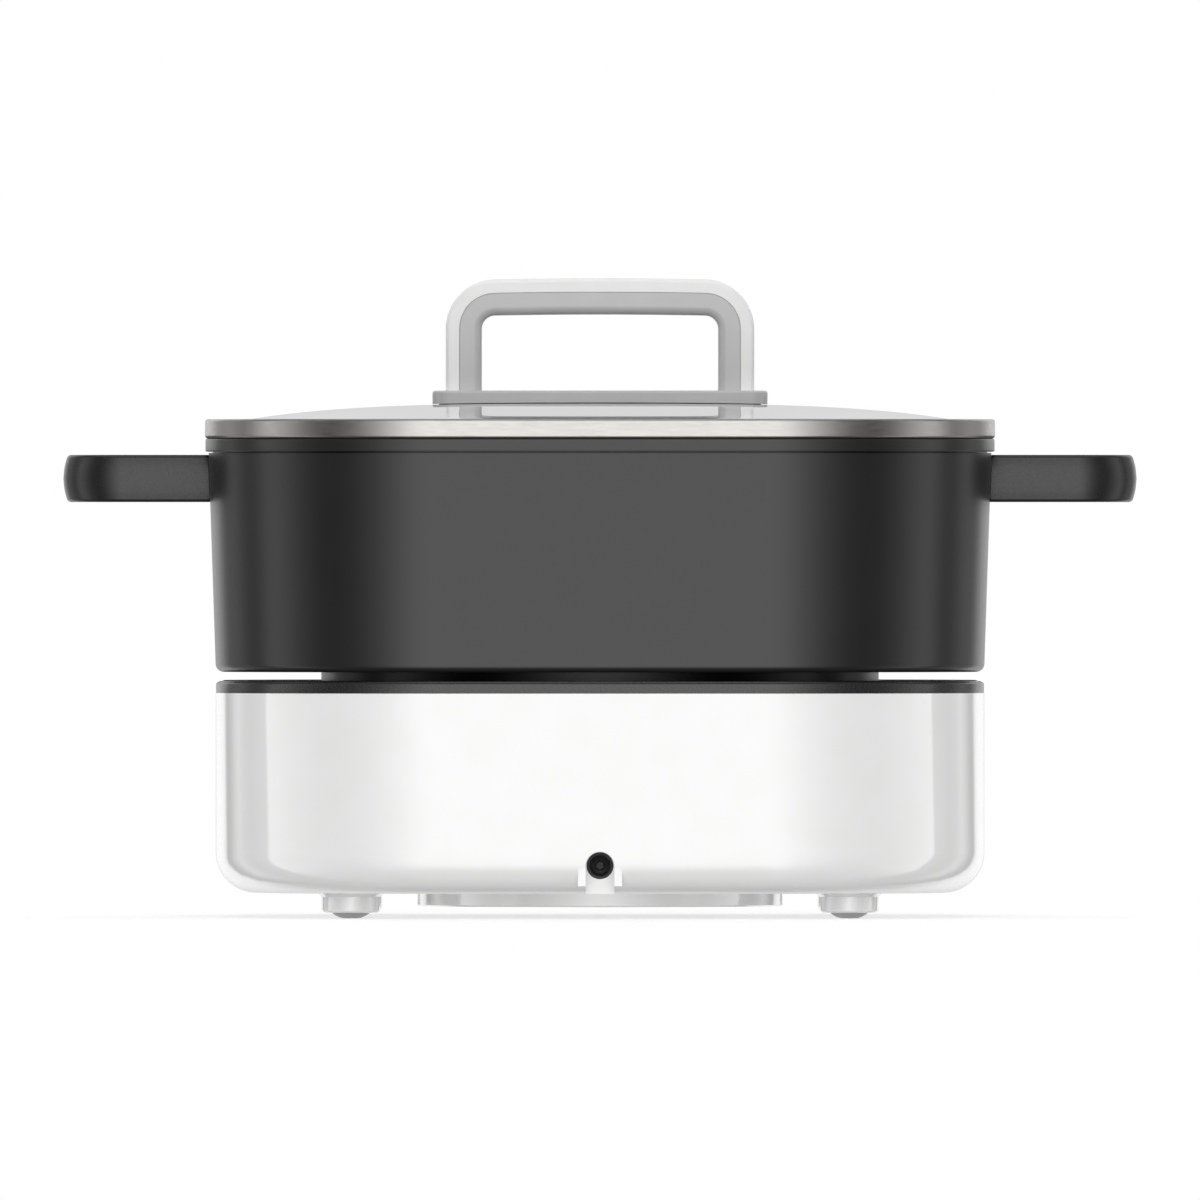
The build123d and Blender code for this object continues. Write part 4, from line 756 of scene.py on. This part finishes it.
def side_handle(way):
    """A U-shaped handle on the +X side or, with way -1, on the -X side."""
    half = GRIP_HIGH / 2
    bm = profile([(0, -half, OUTER_ROUND), (BULGE_HALFWAY, -half / 2, BULGE_ROUND),
                  (GRIP_BULGE, 0, 0),
                  (BULGE_HALFWAY, half / 2, BULGE_ROUND), (0, half, OUTER_ROUND),
                  (-GRIP_THICK, half, INSIDE_ROUND), (-GRIP_THICK, -half, INSIDE_ROUND)],
                 closed=True)
    bmesh.ops.rotate(bm, verts=bm.verts[:], cent=(0, 0, 0),
                     matrix=Matrix.Rotation(math.radians(-90), 3, "Z"))
    root = side_half(HANDLE_Z) - LEG_ROOT
    bmesh.ops.translate(bm, verts=bm.verts[:], vec=(root * MM, -GRIP_Y * MM, HANDLE_Z * MM))
    straight = GRIP_X - GRIP_BEND - root
    bend_x, bend_y = (GRIP_X - GRIP_BEND) * MM, (GRIP_Y - GRIP_BEND) * MM
    last = push(bm, bm.verts[:], (straight * MM, 0, 0))
    last = turn(bm, last, (bend_x, -bend_y, 0), BEND_STEPS)
    last = push(bm, last, (0, 2 * bend_y, 0))
    last = turn(bm, last, (bend_x, bend_y, 0), BEND_STEPS)
    push(bm, last, (-straight * MM, 0, 0))
    bmesh.ops.remove_doubles(bm, verts=bm.verts[:], dist=SAME_PLACE)
    wall = ((side_half(HANDLE_Z) + HANDLE_SEAM) * MM, 0, HANDLE_Z * MM)
    slant = (-math.cos(POT_DRAFT), 0, math.sin(POT_DRAFT))
    cut = bmesh.ops.bisect_plane(bm, geom=bm.verts[:] + bm.edges[:] + bm.faces[:],
                                 plane_co=wall, plane_no=slant, clear_outer=True)
    open_ends = [g for g in cut["geom_cut"] if isinstance(g, bmesh.types.BMEdge)]
    bmesh.ops.holes_fill(bm, edges=open_ends, sides=0)
    under = HANDLE_Z - half
    drill(bm, [(SCREW_X, -LEG_Y), (SCREW_X, LEG_Y)], HEAD_HOLE,
          under - DRILL_START, under + HEAD_DEPTH)
    if way < 0:
        bmesh.ops.rotate(bm, verts=bm.verts[:], cent=(0, 0, 0),
                         matrix=Matrix.Rotation(math.radians(180), 3, "Z"))
    return bm


make_piece("side_handle_right", side_handle(1), "dark_handle", "pot", "pot_handle_right")
make_piece("side_handle_left", side_handle(-1), "dark_handle", "pot", "pot_handle_left")

# %% [markdown]
# ## The steel rim of the lid
# The rim is a strip of stainless steel, 0.8 mm thick, rolled round the edge of the glass. It has a
# lip over the glass, an upright side, a shelf, and a flange that drops into the pot's mouth. All
# its bends are rolled, so none is sharp. The closed section of the strip is carried round once.

# %% Rim
rim_low, rim_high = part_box("lid_rim")
RIM_HALF = rim_high.x / MM
RIM_TOP = rim_high.z / MM
SHEET = 0.8
LIP = 7.0
FLANGE_CLEAR = 0.6
FLANGE_HALF = INNER_HALF - FLANGE_CLEAR
FLANGE_LOW = rim_low.z / MM
LIP_FOLD = 1.0
SHELF_FOLD = 1.2
FLANGE_FOLD = 0.9
FOLD_INSIDE = 0.2
FLANGE_INSIDE = 0.1
SHEET_EDGE = 0.35

make_piece("rolled_rim", carry_round(profile([
    (RIM_HALF, MOUTH_Z, SHELF_FOLD),
    (RIM_HALF, RIM_TOP, LIP_FOLD),
    (RIM_HALF - LIP, RIM_TOP, SHEET_EDGE),
    (RIM_HALF - LIP, RIM_TOP - SHEET, SHEET_EDGE),
    (RIM_HALF - SHEET, RIM_TOP - SHEET, FOLD_INSIDE),
    (RIM_HALF - SHEET, MOUTH_Z + SHEET, FOLD_INSIDE),
    (FLANGE_HALF - SHEET, MOUTH_Z + SHEET, FLANGE_FOLD),
    (FLANGE_HALF - SHEET, FLANGE_LOW, SHEET_EDGE),
    (FLANGE_HALF, FLANGE_LOW, SHEET_EDGE),
    (FLANGE_HALF, MOUTH_Z, FLANGE_INSIDE)], closed=True)), "rim_steel", "lid", "lid_rim")

# %% [markdown]
# ## The glass
# The lid is pressed from a flat sheet: a level brim sits in the rim, and inside it the glass rises
# into a shallow dome that is steepest just inside the brim and nearly level in the middle. The brim
# is a profile carried round. The dome starts from a ring of its own with rounder corners, which is
# extruded and shrunk in steps while its height follows the press tool's curve, and a bridge of
# faces joins it to the brim. The holes for the handle's screws and for the steam eyelet are left
# out: the pads and collars that sit on the glass cover them.

# %% Glass sizes
GLASS_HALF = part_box("lid_glass")[1].x / MM
GLASS_CLEAR = 0.4
GLASS_TOP = RIM_TOP - SHEET - GLASS_CLEAR
GLASS_THICK = 4.0
GLASS_ROUND = 0.8
DOME_HALF = 133.0
DOME_SEAM = 1.2
BRIM_START = DOME_HALF + DOME_SEAM
DOME_CORNER = 72.0
DOME_RISE = 7.0
DOME_GENTLE = 1.6
DOME_RINGS = 26


def dome_rise(share):
    """Rise above the brim, in millimetres, at a share of the way from the middle to the brim."""
    return DOME_RISE - DOME_GENTLE * share ** 2 - (DOME_RISE - DOME_GENTLE) * share ** 4


def dome_skin(bm, drop):
    """Dome of shrinking rings, at a distance under the outer face; returns its outer edges."""
    last, outer = plan_ring(bm, DOME_HALF, DOME_CORNER, GLASS_TOP - drop)
    share = 1.0
    for step in range(1, DOME_RINGS + 1):
        goal = 1 - step / (DOME_RINGS + 1)
        last = push(bm, last, (0, 0, (dome_rise(goal) - dome_rise(share)) * MM))
        bmesh.ops.scale(bm, verts=last, vec=(goal / share, goal / share, 1))
        share = goal
    inside = set(last)
    cap(bm, [e for e in bm.edges if all(v in inside for v in e.verts)])
    return outer


print("glass half width:", round(GLASS_HALF, 2), "brim top:", round(GLASS_TOP, 2))

# %% Glass body
glass = carry_round(profile([
    (BRIM_START, GLASS_TOP, 0),
    (GLASS_HALF, GLASS_TOP, GLASS_ROUND),
    (GLASS_HALF, GLASS_TOP - GLASS_THICK, GLASS_ROUND),
    (BRIM_START, GLASS_TOP - GLASS_THICK, 0)]))
for drop in (0, GLASS_THICK):
    brim_ring = rim_edges(glass, GLASS_TOP - drop)
    bmesh.ops.bridge_loops(glass, edges=brim_ring + dome_skin(glass, drop))
make_piece("pressed_glass", glass, "lid_glass", "lid", "lid_glass")

# %% [markdown]
# ## A dark skin in the gland
# A black rubber skin closes the bore of the gland as painted shade: it stands for the shade deep
# inside an empty bore, which would otherwise show the lit inside of the base. The skin is a disc
# whose front is inset four times: down into a dish, up to a ring in two steps, and down again in
# the middle.

# %% Dark skin in the gland
SKIN_RADIUS = 3.79
SKIN_THICK = 1.6
SKIN_SUNK = 2.4
SKIN_STEPS = 48
DISH_INSETS = ((0.5, -0.5), (1.0, 0.35), (0.5, 0.2), (0.5, -0.6))

gland_low, gland_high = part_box("cord_gland")
skin = bmesh.new()
bmesh.ops.create_cone(skin, cap_ends=True, segments=SKIN_STEPS, radius1=SKIN_RADIUS * MM,
                      radius2=SKIN_RADIUS * MM, depth=SKIN_THICK * MM)
front = [max(skin.faces, key=lambda face: face.calc_center_median().z)]
for inset, depth in DISH_INSETS:
    bmesh.ops.inset_region(skin, faces=front, thickness=inset * MM, depth=depth * MM)
bmesh.ops.rotate(skin, verts=skin.verts[:], cent=(0, 0, 0),
                 matrix=Matrix.Rotation(math.radians(90), 3, "X"))
bmesh.ops.translate(skin, verts=skin.verts[:],
                    vec=(0, gland_low.y + SKIN_SUNK * MM, (gland_low.z + gland_high.z) / 2))
# The black skin is painted shade for the inside of the empty bore.
make_piece("gland_shade_skin", skin, "black_rubber", "base")

# %% [markdown]
# ## Marks round the knob
# The scale is pad printed on the housing: a numeral with a longer stroke at each fifth of the
# knob's travel, and short strokes between them. It is laid out flat, with the knob's axis at the
# origin, and then stood up against the wall. The ink is a few hundredths of a millimetre thick.

# %% Scale
KNOB_Z = 50.0
TRAVEL = 270
NUMERALS = 5
STROKES = 5
INK = 0.04
STROKE_FROM = 22.7
STROKE_TO = 23.9
MAJOR_EXTRA = 0.3
MAJOR_WIDE = 0.45
MINOR_WIDE = 0.3
NUMERAL_AT = 26.8
NUMERAL_SIZE = 4.2


def on_scale(turned, radius):
    """A place on the flat scale, clockwise from the top, in metres."""
    angle = math.radians(turned)
    return Vector((radius * MM * math.sin(angle), radius * MM * math.cos(angle), 0))


scale_marks = bmesh.new()
for step in range(NUMERALS * STROKES + 1):
    turned = TRAVEL * step / (NUMERALS * STROKES)
    major = step % STROKES == 0
    long = STROKE_TO - STROKE_FROM + (MAJOR_EXTRA if major else 0)
    wide = MAJOR_WIDE if major else MINOR_WIDE
    stroke = bmesh.ops.create_cube(scale_marks, size=1.0)["verts"]
    bmesh.ops.scale(scale_marks, verts=stroke, vec=(wide * MM, long * MM, INK * MM))
    bmesh.ops.translate(scale_marks, verts=stroke, vec=(0, (STROKE_FROM + long / 2) * MM, 0))
    bmesh.ops.rotate(scale_marks, verts=stroke, cent=(0, 0, 0),
                     matrix=Matrix.Rotation(math.radians(-turned), 3, "Z"))
    if major:
        letter = bpy.data.curves.new("numeral", "FONT")
        letter.body = str(step // STROKES)
        letter.size = NUMERAL_SIZE * MM
        letter.align_x = "CENTER"
        letter.align_y = "CENTER"
        letter.extrude = INK / 2 * MM
        numeral = bmesh.new()
        from_object(numeral, bpy.data.objects.new("numeral", letter))
        bmesh.ops.translate(numeral, verts=numeral.verts[:], vec=on_scale(turned, NUMERAL_AT))
        flat = bpy.data.meshes.new("numeral")
        numeral.to_mesh(flat)
        scale_marks.from_mesh(flat)
        numeral.free()
        bpy.data.meshes.remove(flat)
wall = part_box("base_housing")[1].y
stand_up = Matrix(((-1, 0, 0, 0), (0, 0, 1, wall), (0, 1, 0, KNOB_Z * MM), (0, 0, 0, 1)))
bmesh.ops.transform(scale_marks, matrix=stand_up, verts=scale_marks.verts[:])
make_piece("knob_scale", scale_marks, "grey_plastic", "base", finish=printed_ink)

# %% [markdown]
# ## Studio
# A pale floor carries the contact shadow. Further out it fades into plain white for the eye, so
# that no horizon shows. The object's own light and reflections pass through the floor, as if it
# hung in a light tent that is bright below it too, which keeps a low underside from going black.

# %% Floor
FLOOR_RADIUS = 1.1
FLOOR_STEPS = 96
FADE_START = 0.20
FADE_END = 0.48
TABLE_SEEN = 0.45

floor_mesh = bmesh.new()
bmesh.ops.create_circle(floor_mesh, cap_ends=True, segments=FLOOR_STEPS, radius=FLOOR_RADIUS)
floor_data = bpy.data.meshes.new("floor")
floor_mesh.to_mesh(floor_data)
floor_mesh.free()
floor = bpy.data.objects.new("floor", floor_data)
bpy.context.scene.collection.objects.link(floor)
floor.visible_diffuse = False
floor.visible_glossy = False
floor.visible_shadow = False

material, tree, shader = surface("pale_floor", "#d9d9d9", 0.9)
place = add(tree, "ShaderNodeTexCoord")
reach = add(tree, "ShaderNodeVectorMath", {0: place.outputs["Object"]}, operation="LENGTH")
far = add(tree, "ShaderNodeMapRange", {"Value": reach.outputs["Value"], "From Min": FADE_START,
                                       "From Max": FADE_END}, interpolation_type="SMOOTHSTEP")
glow = add(tree, "ShaderNodeEmission", {"Strength": TABLE_SEEN})
lit = add(tree, "ShaderNodeAddShader", {0: shader.outputs["BSDF"], 1: glow.outputs["Emission"]})
white = add(tree, "ShaderNodeEmission", {"Strength": 1.0})
both = add(tree, "ShaderNodeMixShader", {0: far.outputs["Result"], 1: lit.outputs["Shader"],
                                         2: white.outputs["Emission"]})
tree.links.new(both.outputs["Shader"], tree.nodes["Material Output"].inputs["Surface"])
floor.data.materials.append(material)
print("floor fades from", FADE_START, "to", FADE_END, "m")

# %% [markdown]
# ## The light tent
# The tent is bright in front, dark beside that and bright again at either side. Past a dark gap
# behind the sides come a weak band and then the pale backdrop. Those bands are what the dark
# corners of the pot and the gloss of the base show. The table gives the brightness that a mirror
# would see, by the angle in degrees round from the -Y side. Towards the top and the bottom the
# bands fade. Matt surfaces also get an even fill light, and to the eye and through glass the tent
# is plain white.

# %% World
TENT = {0: 2.5, 6: 2.35, 12: 1.85, 20: 1.2, 28: 0.7, 36: 0.28, 43: 0.08, 50: 0.02, 58: 0.02,
        64: 0.12, 70: 0.35, 80: 0.8, 90: 1.3, 98.6: 1.7, 99.4: 0.1, 113: 0.15, 120: 0.45,
        126: 0.85, 132: 0.5, 137: 0.2, 142: 0.2, 146: 1.2, 152: 1.3, 165: 1.1, 180: 0.68}
TENT_PEAK = max(TENT.values())
BAND_END = math.sin(math.radians(28))
CAP_START = math.sin(math.radians(62))
CAP_SHARE = 0.12
FILL_LEVEL = 0.28

world = bpy.data.worlds.new("studio")
bpy.context.scene.world = world
world.use_nodes = True
tree = world.node_tree
direction = add(tree, "ShaderNodeTexCoord")
parts = add(tree, "ShaderNodeSeparateXYZ", {0: direction.outputs["Generated"]})
ahead = add(tree, "ShaderNodeMath", {0: parts.outputs["Y"], 1: -1.0}, operation="MULTIPLY")
angle = add(tree, "ShaderNodeMath", {0: parts.outputs["X"], 1: ahead.outputs["Value"]},
            operation="ARCTAN2")
width = add(tree, "ShaderNodeMath", {0: angle.outputs["Value"]}, operation="ABSOLUTE")
share = add(tree, "ShaderNodeMath", {0: width.outputs["Value"], 1: math.pi}, operation="DIVIDE")
bands = add(tree, "ShaderNodeValToRGB", {0: share.outputs["Value"]})
stops = bands.color_ramp.elements
while len(stops) < len(TENT):
    stops.new(0.5)
for stop, (turned, bright) in zip(stops, TENT.items()):
    stop.position = turned / 180
    stop.color = (bright / TENT_PEAK,) * 3 + (1,)
rise = add(tree, "ShaderNodeMath", {0: parts.outputs["Z"]}, operation="ABSOLUTE")
tall = add(tree, "ShaderNodeMapRange", {"Value": rise.outputs["Value"], "From Min": BAND_END,
                                        "From Max": CAP_START, "To Min": TENT_PEAK,
                                        "To Max": TENT_PEAK * CAP_SHARE},
           interpolation_type="SMOOTHSTEP")
tent = add(tree, "ShaderNodeMath", {0: bands.outputs["Color"], 1: tall.outputs["Result"]},
           operation="MULTIPLY")
rays = add(tree, "ShaderNodeLightPath")
fill = add(tree, "ShaderNodeMath", {0: 1.0, 1: rays.outputs["Is Glossy Ray"]},
           operation="SUBTRACT")
level = add(tree, "ShaderNodeMath", {0: fill.outputs["Value"], 1: FILL_LEVEL,
                                     2: tent.outputs["Value"]}, operation="MULTIPLY_ADD")
seen = add(tree, "ShaderNodeMath", {0: rays.outputs["Is Camera Ray"],
                                    1: rays.outputs["Is Transmission Ray"]}, operation="MAXIMUM")
strength = add(tree, "ShaderNodeMix", {0: seen.outputs["Value"], 2: level.outputs["Value"],
                                       3: 1.0}, data_type="FLOAT")
tree.links.new(strength.outputs[0], tree.nodes["Background"].inputs["Strength"])
tree.nodes["Background"].inputs["Color"].default_value = (1, 1, 1, 1)
print("tent stops:", len(stops), "brightest:", TENT_PEAK)

# %% [markdown]
# ## The box overhead
# One large soft lamp hangs above the object and gives the upper faces their light and the floor its
# shadow. The power of an area lamp is pi times its area times the brightness of its face.

# %% Overhead lamp
TOP_SIZE = 3.0
TOP_HEIGHT = 2.8
TOP_LEVEL = 0.7

overhead = bpy.data.objects.new("top_box", bpy.data.lights.new("top_box", "AREA"))
overhead.data.size = TOP_SIZE
overhead.data.energy = math.pi * TOP_SIZE ** 2 * TOP_LEVEL
overhead.location = (0, 0, TOP_HEIGHT)
overhead.visible_camera = False
bpy.context.scene.collection.objects.link(overhead)
print("overhead lamp:", round(overhead.data.energy, 1), "W")
